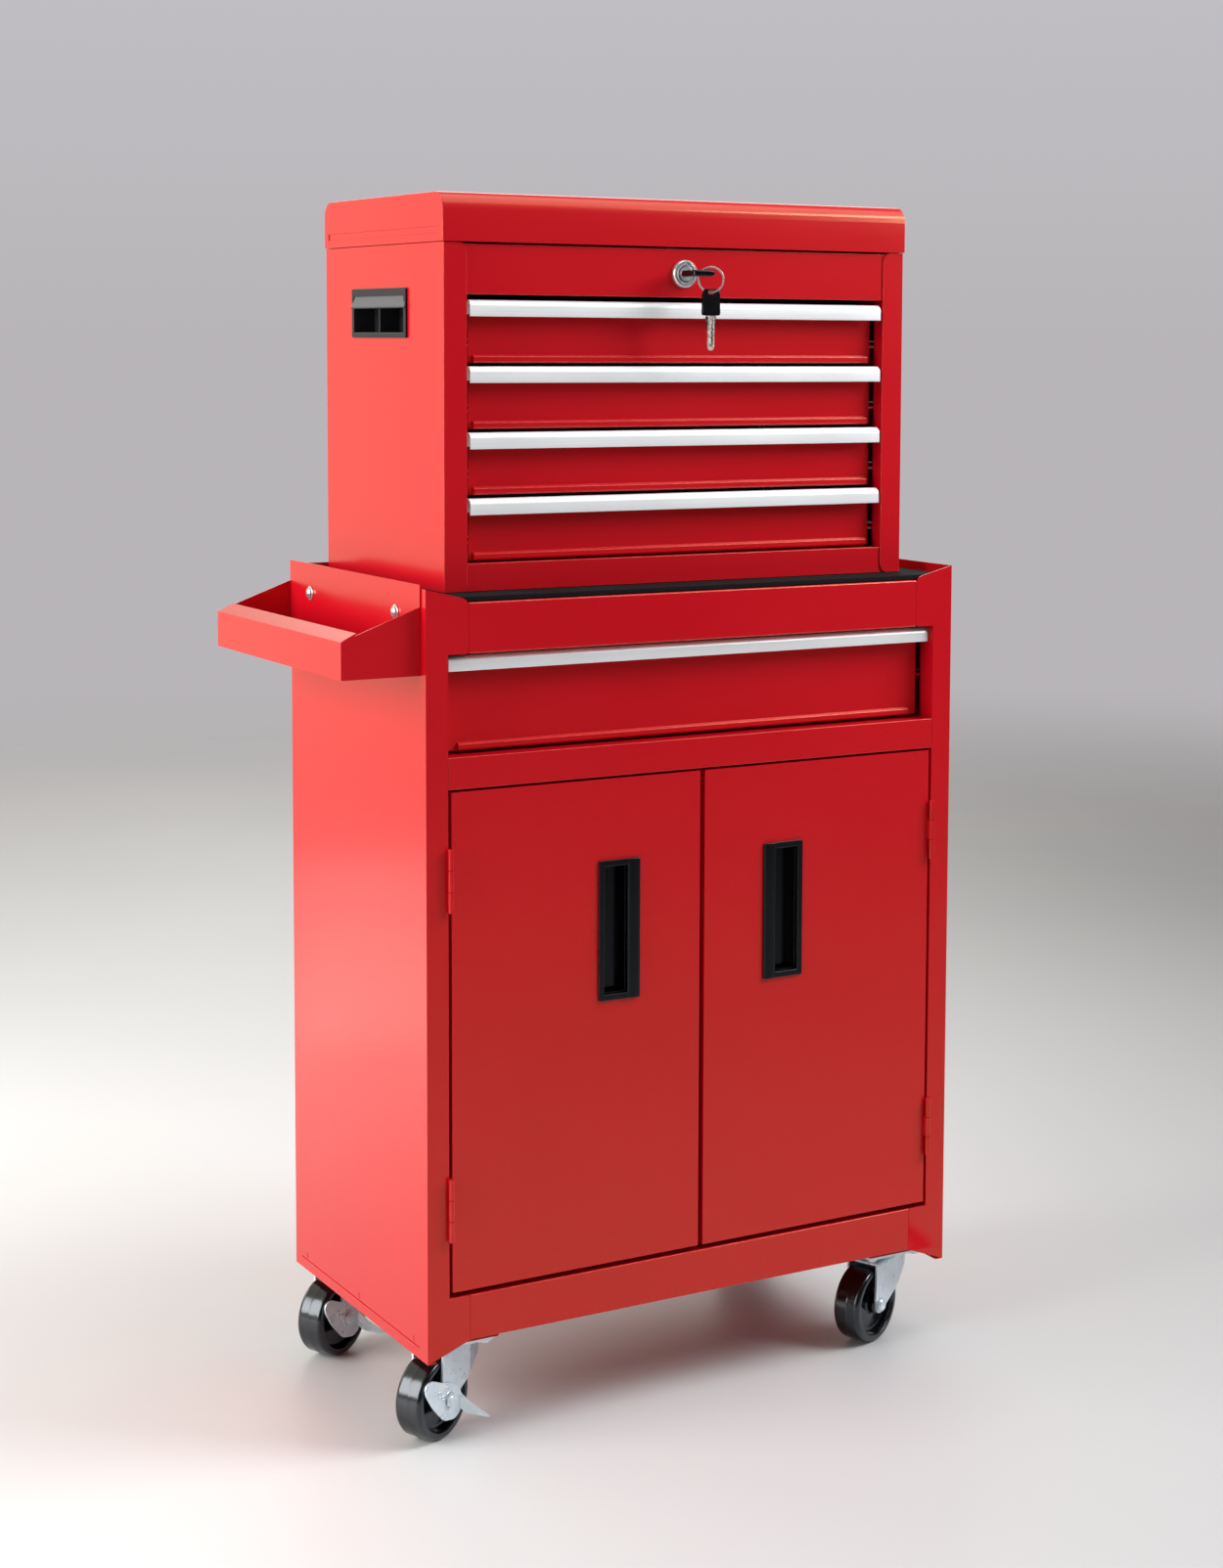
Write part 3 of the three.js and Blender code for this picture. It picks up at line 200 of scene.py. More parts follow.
def makeStudio():
    world = bpy.data.worlds.new("studio")
    world.use_nodes = True
    tree = world.node_tree
    direction = tree.nodes.new("ShaderNodeTexCoord").outputs["Generated"]
    paths = tree.nodes.new("ShaderNodeLightPath").outputs
    way = along(tree, direction, studio["brightWay"])
    bright = mixColours(
        tree, paths["Is Glossy Ray"], dimmed(studio["brightSide"], studio["brightStrength"]),
        dimmed(studio["brightMirrored"], studio["brightStrength"]))
    room = mixColours(
        tree, spread(tree, way, *studio["brightReach"], smooth=True),
        dimmed(studio["darkSide"], studio["darkStrength"]), bright)
    soft = tree.nodes["Background"]
    tree.links.new(room, soft.inputs["Color"])
    rise = spread(tree, height(tree, direction), *studio["wallRise"])
    wall = addNode(tree, "ShaderNodeBackground", [
        ("Color", mixColours(tree, rise, studio["wallColour"], studio["wallTopColour"]))])
    choice = addNode(tree, "ShaderNodeMixShader", [
        (0, paths["Is Camera Ray"]), (1, soft.outputs[0]), (2, wall.outputs[0])])
    tree.links.new(choice.outputs[0], tree.nodes["World Output"].inputs["Surface"])
    scene.world = world
    for name, spot, aim, size, watts, colour in studio["lights"]:
        light = bpy.data.lights.new(name, "AREA")
        light.shape = "RECTANGLE"
        light.size, light.size_y = size
        light.energy = watts
        light.color = colour
        holder = link(name, light)
        holder.location = spot
        holder.rotation_euler = (Vector(aim) - Vector(spot)).to_track_quat("-Z", "Y").to_euler()
        holder.visible_camera = False
    scene.view_settings.view_transform = "Standard"


makeStudio()
print("studio lit")


# Materials

groupValues = {
    "wearNoise": (4.0, 0.6),  # detail and roughness of the noise that breaks up the wear and the painted edge highlight
    "wearSpread": (0.42, 0.66, 0.25, 1.0),  # the noise's reach, and the wear and painted edge highlight that it becomes
    "rippleNoise": (1.0, 0.4),
    "smudgeNoise": (2.0, 0.45),
    "smudgeReach": (0.32, 0.68),
    "speckScale": 9.0,  # against the smudges
    "speckPart": 0.04,
    "lineNoise": (3.0, 0.65),
    "cloudNoise": (4.0, 0.6),
    "flowerPart": 0.35,  # of the cells in bright zinc; the rest is clouds
}


def newGroup(name, inputs, outputs):
    tree = bpy.data.node_groups.new(name, "ShaderNodeTree")
    tree.interface.new_socket(name="Vector", in_out="INPUT", socket_type="NodeSocketVector")
    for label, value in inputs.items():
        kind = "NodeSocketFloat" if isinstance(value, float) else "NodeSocketVector"
        socket = tree.interface.new_socket(name=label, in_out="INPUT", socket_type=kind)
        socket.default_value = value
    for label in outputs:
        tree.interface.new_socket(name=label, in_out="OUTPUT", socket_type="NodeSocketFloat")
    given = tree.nodes.new("NodeGroupInput").outputs
    return tree, given, tree.nodes.new("NodeGroupOutput").inputs


def makeEdgeHighlightAndWear():
    # wear and a painted highlight, on rounded edges only, broken up by noise
    tree, given, out = newGroup("edgeHighlightAndWear", {"Rim": 0.0, "Scale": 180.0, "Amount": 0.5}, ["Mask"])
    patches = noise(tree, given["Vector"], given["Scale"], *groupValues["wearNoise"])
    broken = spread(tree, patches, *groupValues["wearSpread"])
    highlightAndWearMask = math2(tree, "MULTIPLY", broken, given["Rim"])
    tree.links.new(math2(tree, "MULTIPLY", highlightAndWearMask, given["Amount"], True), out["Mask"])
    return tree


def makeOrangePeel():
    # the slow ripple and the fine grain of a sprayed coat
    tree, given, out = newGroup(
        "orangePeel", {"Ripple": 260.0, "Grain": 1500.0, "Share": 0.35}, ["Height"])
    slow = noise(tree, given["Vector"], given["Ripple"], *groupValues["rippleNoise"])
    fine = math2(tree, "MULTIPLY", noise(tree, given["Vector"], given["Grain"]), given["Share"])
    tree.links.new(math2(tree, "ADD", slow, fine), out["Height"])
    return tree


def makeHandling():
    # broad, faint smudges from hands and cloths
    tree, given, out = newGroup(
        "handling", {"Scale": 6.0, "Low": 0.3, "High": 0.4}, ["Tone", "Roughness"])
    broad = noise(tree, given["Vector"], given["Scale"], *groupValues["smudgeNoise"])
    specks = noise(
        tree, given["Vector"],
        math2(tree, "MULTIPLY", given["Scale"], groupValues["speckScale"]))
    both = share(tree, broad, specks, groupValues["speckPart"])
    gloss = spread(tree, both, *groupValues["smudgeReach"], given["Low"], given["High"])
    tree.links.new(broad, out["Tone"])
    tree.links.new(gloss, out["Roughness"])
    return tree


def makeBrushed():
    # fine lines drawn along one axis
    tree, given, out = newGroup("brushed", {"Stretch": (3.0, 900.0, 900.0)}, ["Lines"])
    stretched = addNode(
        tree, "ShaderNodeVectorMath", [(0, given["Vector"]), (1, given["Stretch"])],
        operation="MULTIPLY").outputs[0]
    tree.links.new(noise(tree, stretched, 1.0, *groupValues["lineNoise"]), out["Lines"])
    return tree


def makeMottle():
    # the cloudy flowers of bright zinc
    tree, given, out = newGroup("mottle", {"Cells": 300.0, "Clouds": 90.0}, ["Tone", "Tint"])
    cells = addNode(
        tree, "ShaderNodeTexVoronoi", [("Vector", given["Vector"]), ("Scale", given["Cells"])])
    flower = addNode(
        tree, "ShaderNodeSeparateColor", [("Color", cells.outputs["Color"])]).outputs[0]
    cloud = noise(tree, given["Vector"], given["Clouds"], *groupValues["cloudNoise"])
    tree.links.new(share(tree, cloud, flower, groupValues["flowerPart"]), out["Tone"])
    tree.links.new(cloud, out["Tint"])
    return tree


edgeHighlightAndWear = makeEdgeHighlightAndWear()
orangePeel = makeOrangePeel()
handling = makeHandling()
brushed = makeBrushed()
mottle = makeMottle()

toneReach = (0.3, 0.7)  # where most of the noise lies


def useGroup(tree, group, vector, **values):
    return addNode(
        tree, "ShaderNodeGroup", [("Vector", vector), *values.items()], node_tree=group).outputs


def startMaterial(name, shaderValues):
    material = bpy.data.materials.new(name)
    material.use_nodes = True
    tree = material.node_tree
    shader = tree.nodes["Principled BSDF"]
    for key, value in shaderValues.items():
        shader.inputs[key].default_value = value
    return material, tree, shader, tree.nodes.new("ShaderNodeTexCoord").outputs["Object"]


def dress(tree, shader, colour, roughness, relief, distance, strength=1.0):
    bump = addNode(tree, "ShaderNodeBump", [
        ("Height", relief), ("Strength", strength), ("Distance", distance)])
    tree.links.new(colour, shader.inputs["Base Color"])
    tree.links.new(roughness, shader.inputs["Roughness"])
    tree.links.new(bump.outputs["Normal"], shader.inputs["Normal"])


def tones(tree, tone, values):
    return mixColours(tree, spread(tree, tone, *toneReach), values["dark"], values["light"])


# lays the rims' wear and painted highlight over the body colour
def highlightedWornEdges(tree, place, body, values):
    rim = addNode(tree, "ShaderNodeAttribute", attribute_name="rim").outputs["Fac"]
    highlightAndWearMask = useGroup(
        tree, edgeHighlightAndWear, place, Rim=rim, Scale=values["wearScale"], Amount=values["wear"])
    return mixColours(tree, highlightAndWearMask["Mask"], body, values["edge"])


def smudges(tree, place, values):
    return useGroup(
        tree, handling, place, Scale=values["smudges"], Low=values["smooth"],
        High=values["rough"])


def peel(tree, place, values):
    return useGroup(
        tree, orangePeel, place, Ripple=values["ripple"], Grain=values["grain"],
        Share=values["grainShare"])["Height"]


def makeCoat(name, values):
    # paint, plastic and rubber
    material, tree, shader, place = startMaterial(name, values["shader"])
    hands = smudges(tree, place, values)
    body = tones(tree, hands["Tone"], values)
    if "dust" in values:
        # a greyer film where a face looks up: dust, and painted light from above
        facing = height(tree, tree.nodes.new("ShaderNodeNewGeometry").outputs["Normal"])
        body = mixColours(
            tree, spread(tree, facing, *values["dustReach"]), body, values["dust"])
    dress(
        tree, shader, highlightedWornEdges(tree, place, body, values), hands["Roughness"],
        peel(tree, place, values), values["bump"])
    return material


def makeBrushedMetal(name, values):
    material, tree, shader, place = startMaterial(name, values["shader"])
    lines = useGroup(tree, brushed, place)["Lines"]
    body = tones(tree, lines, values)
    dress(
        tree, shader, highlightedWornEdges(tree, place, body, values),
        smudges(tree, place, values)["Roughness"], lines, values["bump"])
    return material


def makePlated(name, values):
    material, tree, shader, place = startMaterial(name, {"Metallic": values["metal"]})
    flowers = useGroup(tree, mottle, place, Cells=values["cells"], Clouds=values["clouds"])
    body = mixColours(
        tree, spread(tree, flowers["Tint"], *values["tintSpread"]),
        tones(tree, flowers["Tone"], values), values["tint"])
    gloss = spread(
        tree, flowers["Tone"], *values["glossReach"], values["smooth"], values["rough"])
    dress(
        tree, shader, highlightedWornEdges(tree, place, body, values), gloss, peel(tree, place, values),
        values["bump"])
    return material


# each material's edge colour is a painted highlight along its rims, mixed with some wear
paintValues = {
    "dark": (0.56, 0.0028, 0.0130), "light": (0.60, 0.0038, 0.0150), "edge": (0.84, 0.17, 0.15),
    "smooth": 0.22, "rough": 0.26, "smudges": 4.0, "wear": 0.75, "wearScale": 160.0,
    "ripple": 150.0, "grain": 1500.0, "grainShare": 0.15, "bump": 0.000022,
    "shader": {
        "Coat Weight": 0.12, "Coat Roughness": 0.12, "Specular IOR Level": 0.58,
        "Specular Tint": (1.0, 0.82, 0.38, 1),
    },
}
aluminiumValues = {
    "dark": (0.84, 0.86, 0.87), "light": (0.93, 0.945, 0.95), "edge": (0.95, 0.96, 0.97),
    "smooth": 0.30, "rough": 0.42, "smudges": 9.0, "wear": 0.5, "wearScale": 300.0,
    "bump": 0.00001, "shader": {"Metallic": 0.22},
}

platedValues = {
    # what every plated surface shares
    "tintSpread": (0.55, 0.75, 0.0, 0.5), "glossReach": (0.25, 0.75), "wear": 0.6,
    "wearScale": 260.0, "ripple": 500.0, "grain": 2600.0, "grainShare": 0.5,
}
zincValues = {
    **platedValues, "metal": 0.45, "cells": 150.0, "clouds": 70.0,
    "dark": (0.66, 0.76, 0.83), "light": (0.78, 0.87, 0.92), "tint": (0.80, 0.85, 0.86),
    "edge": (0.94, 0.97, 1.0), "smooth": 0.26, "rough": 0.36, "bump": 0.000012,
}
chromeValues = {
    **platedValues, "metal": 0.72, "cells": 900.0, "clouds": 420.0,
    "dark": (0.56, 0.57, 0.59), "light": (0.90, 0.91, 0.92), "tint": (0.72, 0.73, 0.75),
    "edge": (0.97, 0.97, 0.98), "smooth": 0.12, "rough": 0.26, "bump": 0.00001,
}
keyMetalValues = {
    **platedValues, "metal": 0.6, "cells": 700.0, "clouds": 300.0,
    "dark": (0.48, 0.42, 0.38), "light": (0.74, 0.66, 0.60), "tint": (0.60, 0.56, 0.54),
    "edge": (0.95, 0.92, 0.90), "smooth": 0.20, "rough": 0.36, "bump": 0.00002,
}
# the swivel balls are coloured near-black: painted shade for the narrow gap they show through
shadedBallSteelValues = {
    **platedValues, "metal": 1.0, "cells": 160.0, "clouds": 80.0,
    "dark": (0.05, 0.05, 0.055), "light": (0.10, 0.10, 0.11), "tint": (0.09, 0.08, 0.07),
    "edge": (0.2, 0.2, 0.2), "smooth": 0.2, "rough": 0.35, "bump": 0.00001,
}


def mouldedValues(gloss, **values):
    # what every plastic and rubber surface shares
    return {
        "smudges": 22.0, "wearScale": 300.0, "grainShare": 0.8,
        "shader": {"Specular IOR Level": gloss, "Specular Tint": (0.80, 0.88, 1.0, 1)}, **values}


plasticValues = mouldedValues(
    0.30, dark=(0.0025, 0.0025, 0.003), light=(0.005, 0.005, 0.0055), edge=(0.05, 0.05, 0.055),
    smooth=0.12, rough=0.19, ripple=900.0, grain=3200.0, bump=0.00002, wear=0.7)
handlePlasticValues = mouldedValues(
    0.20, dark=(0.011, 0.0115, 0.0135), light=(0.018, 0.0185, 0.022), edge=(0.09, 0.095, 0.10),
    smooth=0.28, rough=0.38, ripple=900.0, grain=3200.0, bump=0.00004, wear=0.6,
    # grey on upward faces: dust, and painted light from above
    dust=(0.13, 0.135, 0.15), dustReach=(0.04, 0.24))
wheelValues = mouldedValues(
    0.85, dark=(0.0015, 0.0015, 0.0017), light=(0.004, 0.004, 0.0042), edge=(0.05, 0.05, 0.05),
    smooth=0.11, rough=0.20, ripple=160.0, grain=900.0, bump=0.00006, wear=0.4)
matValues = mouldedValues(
    0.15, dark=(0.003, 0.003, 0.0032), light=(0.009, 0.009, 0.0095), edge=(0.02, 0.02, 0.021),
    smooth=0.70, rough=0.92, ripple=700.0, grain=1500.0, bump=0.0004, wear=0.4)
magnetValues = mouldedValues(
    0.4, dark=(0.018, 0.018, 0.020), light=(0.040, 0.040, 0.043), edge=(0.10, 0.10, 0.10),
    smooth=0.45, rough=0.65, ripple=600.0, grain=2400.0, bump=0.00008, wear=0.5)

# every surface is a material with its slot
paint = makeCoat("redPaint", paintValues), "red_paint"
aluminium = makeBrushedMetal("pullAluminium", aluminiumValues), "pull_aluminium"
zinc = makePlated("zincPlate", zincValues), "zinc_plate"
chrome = makePlated("chrome", chromeValues), "chrome"
plastic = makeCoat("blackPlastic", plasticValues), "black_plastic"
wheelPlastic = makeCoat("wheelPlastic", wheelValues), "wheel_plastic"
matRubber = makeCoat("matRubber", matValues), "mat"
magnetGrey = makeCoat("magnetGrey", magnetValues), "magnet"
handlePlastic = makeCoat("handlePlastic", handlePlasticValues), "black_plastic"
keyMetal = makePlated("keyMetal", keyMetalValues), "chrome"
shadedBallSteel = makePlated("shadedBallSteel", shadedBallSteelValues), "zinc_plate"
print("materials made")


# Floor

floorValues = {
    "reach": 7.0,
    "corners": 96,
    "colour": (0.68, 0.695, 0.705),
    "cloudShade": 0.97,
    "cloudScale": 1.2,
    "cloudNoise": (4.0, 0.55),
    "floorShadeColour": (0.28, 0.283, 0.29),
    "way": (-0.9, 0.4, 0.0),  # pale this way, with painted shade the other, out of view
    "dimReach": (0.6, -1.7),
    "fadeReach": (1.9, 5.2, 1.0, 0.0),  # fades into the background between the first two
    "gloss": 0.35,
    "roughness": (0.36, 0.5),
    "grainScale": 35.0,
    "grainNoise": (3.0, 0.5),
    "bump": (0.0006, 0.3),  # depth and strength
}


def makeFloorMaterial():
    values = floorValues
    material, tree, shader, place = startMaterial(
        "paleFloor", {"Specular IOR Level": values["gloss"]})
    clouds = noise(tree, place, values["cloudScale"], *values["cloudNoise"])
    pale = mixColours(
        tree, spread(tree, clouds, *toneReach), values["colour"],
        dimmed(values["colour"], values["cloudShade"]))
    # the floor darkens towards the room's dim side: painted shade
    dimming = spread(
        tree, along(tree, place, values["way"]), *values["dimReach"], smooth=True)
    dress(
        tree, shader, mixColours(tree, dimming, pale, values["floorShadeColour"]),
        spread(tree, clouds, *toneReach, *values["roughness"]),
        noise(tree, place, values["grainScale"], *values["grainNoise"]), *values["bump"])
    distance = addNode(
        tree, "ShaderNodeVectorMath", [("Vector", place)], operation="LENGTH").outputs["Value"]
    fade = spread(tree, distance, *values["fadeReach"], smooth=True)
    tree.links.new(fade, shader.inputs["Alpha"])
    return material


def makeFloor():
    bm = bmesh.new()
    bmesh.ops.create_circle(
        bm, cap_ends=True, segments=floorValues["corners"], radius=floorValues["reach"])
    mesh = bpy.data.meshes.new("floor")
    bm.to_mesh(mesh)
    bm.free()
    mesh.materials.append(makeFloorMaterial())
    floor = link("floor", mesh)


makeFloor()
print("floor laid")


# Pieces: each is made in the drawing's millimetres and turned into row metres when finished

bodyOf = {nodeName: node["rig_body"] for nodeName, node in frame["nodes"].items()}
toRow = Matrix.Scale(mm, 4) @ shift(rowShift)
alongX = Matrix.Rotation(math.radians(90), 4, "Y")  # lays a shape that was turned about Z along X
alongY = Matrix.Rotation(math.radians(-90), 4, "X")
towardsFront = Matrix.Rotation(math.radians(90), 4, "X")

shaping = {
    "near": 0.001,
    "weld": 0.02,
    "onFace": 0.01,
    "facing": 0.9,  # of a normal's length along an axis, for a face that looks that way
    "flatAngle": 0.01,
    "sharpAngle": math.radians(38),
    "rimAngle": math.radians(50),
}


def newShape():
    bm = bmesh.new()
    bm.faces.layers.float.new("rim")
    return bm


def addShape(bm, other):
    mesh = bpy.data.meshes.new("part")
    other.to_mesh(mesh)
    other.free()
    bm.from_mesh(mesh)
    bpy.data.meshes.remove(mesh)
    return bm


def move(bm, matrix):
    bmesh.ops.transform(bm, matrix=matrix, verts=bm.verts)
    return bm


def copyNode(node):
    bm = newShape()
    bm.from_mesh(frame["nodes"][node].data)
    move(bm, toRow.inverted())
    bmesh.ops.remove_doubles(bm, verts=bm.verts, dist=shaping["weld"])
    bmesh.ops.dissolve_limit(
        bm, angle_limit=shaping["flatAngle"], use_dissolve_boundaries=False,
        verts=bm.verts, edges=bm.edges, delimit=set())
    return bm


def lathe(profile, steps=48, closed=False):
    # the profile's points are (radius, height) and turn about Z
    bm = newShape()
    corners = [bm.verts.new((radius, 0, height)) for radius, height in profile]
    ends = corners[1:] + corners[:1] if closed else corners[1:]
    edges = [bm.edges.new(pair) for pair in zip(corners, ends)]
    bmesh.ops.spin(
        bm, geom=corners + edges, cent=(0, 0, 0), axis=(0, 0, 1), angle=math.tau, steps=steps,
        use_merge=True, use_duplicate=False)
    bmesh.ops.remove_doubles(bm, verts=bm.verts, dist=shaping["near"])
    bmesh.ops.recalc_face_normals(bm, faces=bm.faces)
    return bm


def hexagon(radius, length, matrix, taper=1.0):
    bm = newShape()
    bmesh.ops.create_cone(
        bm, cap_ends=True, segments=6, radius1=radius * taper, radius2=radius, depth=length,
        matrix=matrix)
    return bm


def hexNut(radius, start, end, way=(0, 0, 1), lay=Matrix()):
    return hexagon(radius, end - start, shift((start + end) / 2 * Vector(way)) @ lay)


def bevel(bm, geom, affect, offset, segments):
    return bmesh.ops.bevel(
        bm, geom=geom, affect=affect, offset=offset, offset_type="OFFSET", segments=segments,
        profile=0.5, material=-1, clamp_overlap=True)


def only(kind, items):
    return [item for item in items if isinstance(item, kind)]


def thicken(bm, way):
    made = bmesh.ops.extrude_face_region(bm, geom=bm.faces[:])
    bmesh.ops.translate(bm, vec=way, verts=only(bmesh.types.BMVert, made["geom"]))
    bmesh.ops.recalc_face_normals(bm, faces=bm.faces)
    return bm


def rectangle(low, high):
    (left, bottom), (right, top) = low, high
    return [(left, bottom), (right, bottom), (right, top), (left, top)]


def prism(outline, plane, low, high, corner=0.0, segments=5):
    # a flat outline, its corners rounded, drawn out from low to high
    bm = newShape()
    spot, way = {
        "xz": (lambda a, b: (a, low, b), (0, 1, 0)),
        "yz": (lambda a, b: (low, a, b), (1, 0, 0)),
        "xy": (lambda a, b: (a, b, low), (0, 0, 1)),
    }[plane]
    bm.faces.new([bm.verts.new(spot(a, b)) for a, b in outline])
    if corner:
        bevel(bm, bm.verts[:], "VERTICES", corner, segments)
    return thicken(bm, (high - low) * Vector(way))


def holedPlate(outline, hole, corner, holeCorner, half):
    # a plate in the XZ plane with a rounded slot through it
    bm = newShape()
    for points, radius in ((outline, corner), (hole, holeCorner)):
        loop = newShape()
        loop.faces.new([loop.verts.new((a, -half, b)) for a, b in points])
        bevel(loop, loop.verts[:], "VERTICES", radius, segments=4)
        bmesh.ops.delete(loop, geom=loop.faces[:], context="FACES_ONLY")
        addShape(bm, loop)
    bmesh.ops.triangle_fill(bm, edges=bm.edges[:], use_beauty=True, use_dissolve=False)
    bmesh.ops.dissolve_limit(
        bm, angle_limit=shaping["flatAngle"], verts=bm.verts, edges=bm.edges, delimit=set())
    return thicken(bm, (0, 2 * half, 0))


def cutAt(bm, point, normal, **options):
    return bmesh.ops.bisect_plane(
        bm, geom=bm.verts[:] + bm.edges[:] + bm.faces[:], dist=shaping["near"], plane_co=point,
        plane_no=normal, **options)


def middleOf(edge):
    return (edge.verts[0].co + edge.verts[1].co) / 2


def reachOf(edge, axis):
    return abs(edge.verts[0].co[axis] - edge.verts[1].co[axis])


# the bevelled faces carry how strongly they take wear and the painted edge highlight
def bevelEdges(bm, edges, offset, segments, wear):
    if not edges:
        return
    layer = bm.faces.layers.float["rim"]
    for face in bevel(bm, edges, "EDGES", offset, segments)["faces"]:
        face[layer] = max(face[layer], wear)


def sharpEdges(bm, test=None):
    return [
        edge for edge in bm.edges
        if edge.is_manifold and edge.calc_face_angle(0) > shaping["rimAngle"]
        and (test is None or test(edge))]


def soften(bm, rounding, test=None):
    # the rounding is how far the edges are cut back, in how many steps, and how strongly they take
    # wear and the painted edge highlight
    bevelEdges(bm, sharpEdges(bm, test), *rounding)
    return bm


def finishPiece(name, bm, node, surface, smoothAngle=shaping["sharpAngle"]):
    material, slotName = surface
    move(bm, toRow)
    for face in bm.faces:
        face.smooth = True
    for edge in bm.edges:
        edge.smooth = not edge.is_manifold or edge.calc_face_angle(0) < smoothAngle
    mesh = bpy.data.meshes.new(name)
    bm.to_mesh(mesh)
    bm.free()
    mesh.materials.append(material)
    piece = link(name, mesh)
    piece.modifiers.new("evenShade", "WEIGHTED_NORMAL").keep_sharp = True
    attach(piece, bodyOf[node])
    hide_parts(node)


# Sheet metal: the drawing's sheets with their bends and edges rounded

sheetValues = {
    "thinFace": 1.8,  # a face narrower than this is a sheet's cut edge
    "bendAngle": math.radians(60),
    "bendLength": 5.2,  # shorter edges aren't bends
    "bend": (1.3, 3, 0.45),
    "rim": (0.42, 2, 1.0),
    "pressSlope": 0.35,
}


def faceWidth(face):
    return face.calc_area() / max(edge.calc_length() for edge in face.edges)


def roundSheet(bm):
    values = sheetValues
    bends = [
        edge for edge in bm.edges
        if edge.is_manifold and edge.calc_length() > values["bendLength"]
        and edge.calc_face_angle_signed(0) > values["bendAngle"]
        and min(faceWidth(face) for face in edge.link_faces) > values["thinFace"]]
    bevelEdges(bm, bends, *values["bend"])
    rims = [
        edge for edge in bm.edges
        if edge.is_manifold and edge.calc_face_angle_signed(0) > shaping["rimAngle"]]
    bevelEdges(bm, rims, *values["rim"])


def pressLine(bm, across, reach, heights, depth):
    # presses a line into the side face that stands at across
    for edgeHeight in heights:
        cutAt(bm, (0, 0, edgeHeight), (0, 0, 1))
    for end in reach:
        cutAt(bm, (0, end, 0), (0, 1, 0))

    def onLine(face):
        middle = face.calc_center_median()
        return (
            abs(middle.x - across) < shaping["onFace"] and heights[0] < middle.z < heights[1]
            and reach[0] < middle.y < reach[1])

    chosen = [face for face in bm.faces if onLine(face)]
    if not chosen:
        return
    normal = chosen[0].normal.copy()
    bmesh.ops.inset_region(
        bm, faces=chosen, thickness=sheetValues["pressSlope"], depth=0, use_even_offset=True,
        use_boundary=True)
    pressed = {vert for face in chosen for vert in face.verts}
    bmesh.ops.translate(bm, vec=depth * normal, verts=list(pressed))


def makeSheet(name, node, lines=()):
    shell = copyNode(node)
    for line in lines:
        pressLine(shell, *line)
    roundSheet(shell)
    finishPiece(name, shell, node, paint)


chestDrawers = (1, 2, 3, 4)
sheetPieces = {
    "back_panel": "cabinet_back",
    "deck": "cabinet_deck",
    "middle_rail": "cabinet_shelf",
    "bottom_rail": "cabinet_base",
    "tray": "side_tray",
    "door_panel_left": "door_left",
    "door_panel_right": "door_right",
    "chest_body": "chest_wrap",
    "chest_bottom": "chest_floor",
    "lock_front": "lock_panel",
    "till_plate": "till_floor",
    "wide_drawer_shell": "wide_drawer_box",
    **{f"drawer_{number}_shell": f"drawer_{number}_box" for number in chestDrawers},
}

for pieceName, nodeName in sheetPieces.items():
    makeSheet(pieceName, nodeName)
print("sheet metal done:", len(sheetPieces))


# Side panels: the fold line over the lower edge, with its three nicks

sideValues = {
    "outside": 270.0,
    "foldHeights": (87.4, 88.9),
    "foldReach": (17.0, 283.0),
    "depth": -0.8,
    "nicks": (29.0, 148.0, 269.0),
    "nickWidth": 1.6,
    "nickHeights": (89.4, 95.5),
}


def makeSide(hand):
    values = sideValues
    across, depth = sides[hand] * values["outside"], values["depth"]
    half = values["nickWidth"] / 2
    lines = [(across, values["foldReach"], values["foldHeights"], depth)]
    for middle in values["nicks"]:
        lines.append((across, (middle - half, middle + half), values["nickHeights"], depth))
    makeSheet(f"side_panel_{hand}", f"cabinet_side_{hand}", lines)


for hand in sides:
    makeSide(hand)
print("side panels done")


# Lid, with the bead pressed into each end

lidValues = {
    "endFace": 236.8,
    "beadReach": (46.0, 283.0),
    "beadHeights": (1043.0, 1049.0),
    "beadDepth": -0.8,
}


def makeLid():
    values = lidValues
    makeSheet("lid_shell", "lid", [
        (side * values["endFace"], values["beadReach"], values["beadHeights"],
         values["beadDepth"]) for side in sides.values()])


makeLid()
print("lid done")


# Drawer pulls: extruded profiles with soft long edges

pullValues = {
    "longEdge": 100,
    "edge": (0.9, 4, 0.2),
    "endFrom": 200,
    "end": (0.35, 2, 0.6),
}


def makePull(node, name):
    values = pullValues
    bar = copyNode(node)
    soften(bar, values["edge"], lambda edge: reachOf(edge, 0) > values["longEdge"])
    soften(bar, values["end"], lambda edge: abs(middleOf(edge).x) > values["endFrom"])
    finishPiece(name, bar, node, aluminium)


for number in chestDrawers:
    makePull(f"drawer_{number}_pull", f"drawer_{number}_bar")
makePull("wide_drawer_pull", "wide_drawer_bar")
print("drawer pulls done")


# Moulded pulls: drawn facing the viewer, with X across, Z up and Y into the sheet

def cup(outline, front, back, wall, corner):
    # an open box: a rounded block whose front is inset and pushed in
    shell = prism(rectangle(*outline), "xz", front, back, corner, segments=4)
    shell.normal_update()
    mouth = [face for face in shell.faces if face.normal.y < -shaping["facing"]]
    bmesh.ops.inset_individual(
        shell, faces=mouth, thickness=wall, depth=0, use_even_offset=True)
    bmesh.ops.inset_individual(shell, faces=mouth, thickness=0, depth=-(back - front - wall))
    return shell


def makeGrip(values):
    # the frame of a moulded pull with its cup behind
    front, rear = values["face"]
    half = (rear - front) / 2
    shell = holedPlate(
        rectangle(*values["outer"]), rectangle(*values["mouth"]), *values["corners"], half)
    soften(shell, values["edge"])
    move(shell, shift((0, front + half, 0)))
    return addShape(shell, cup(
        values["cup"], *values["cupDepths"], values["wall"], values["cupCorner"]))


def finishGrip(name, shell, node, matrix, surface):
    move(shell, matrix)
    bmesh.ops.recalc_face_normals(shell, faces=shell.faces)
    finishPiece(name, shell, node, surface)


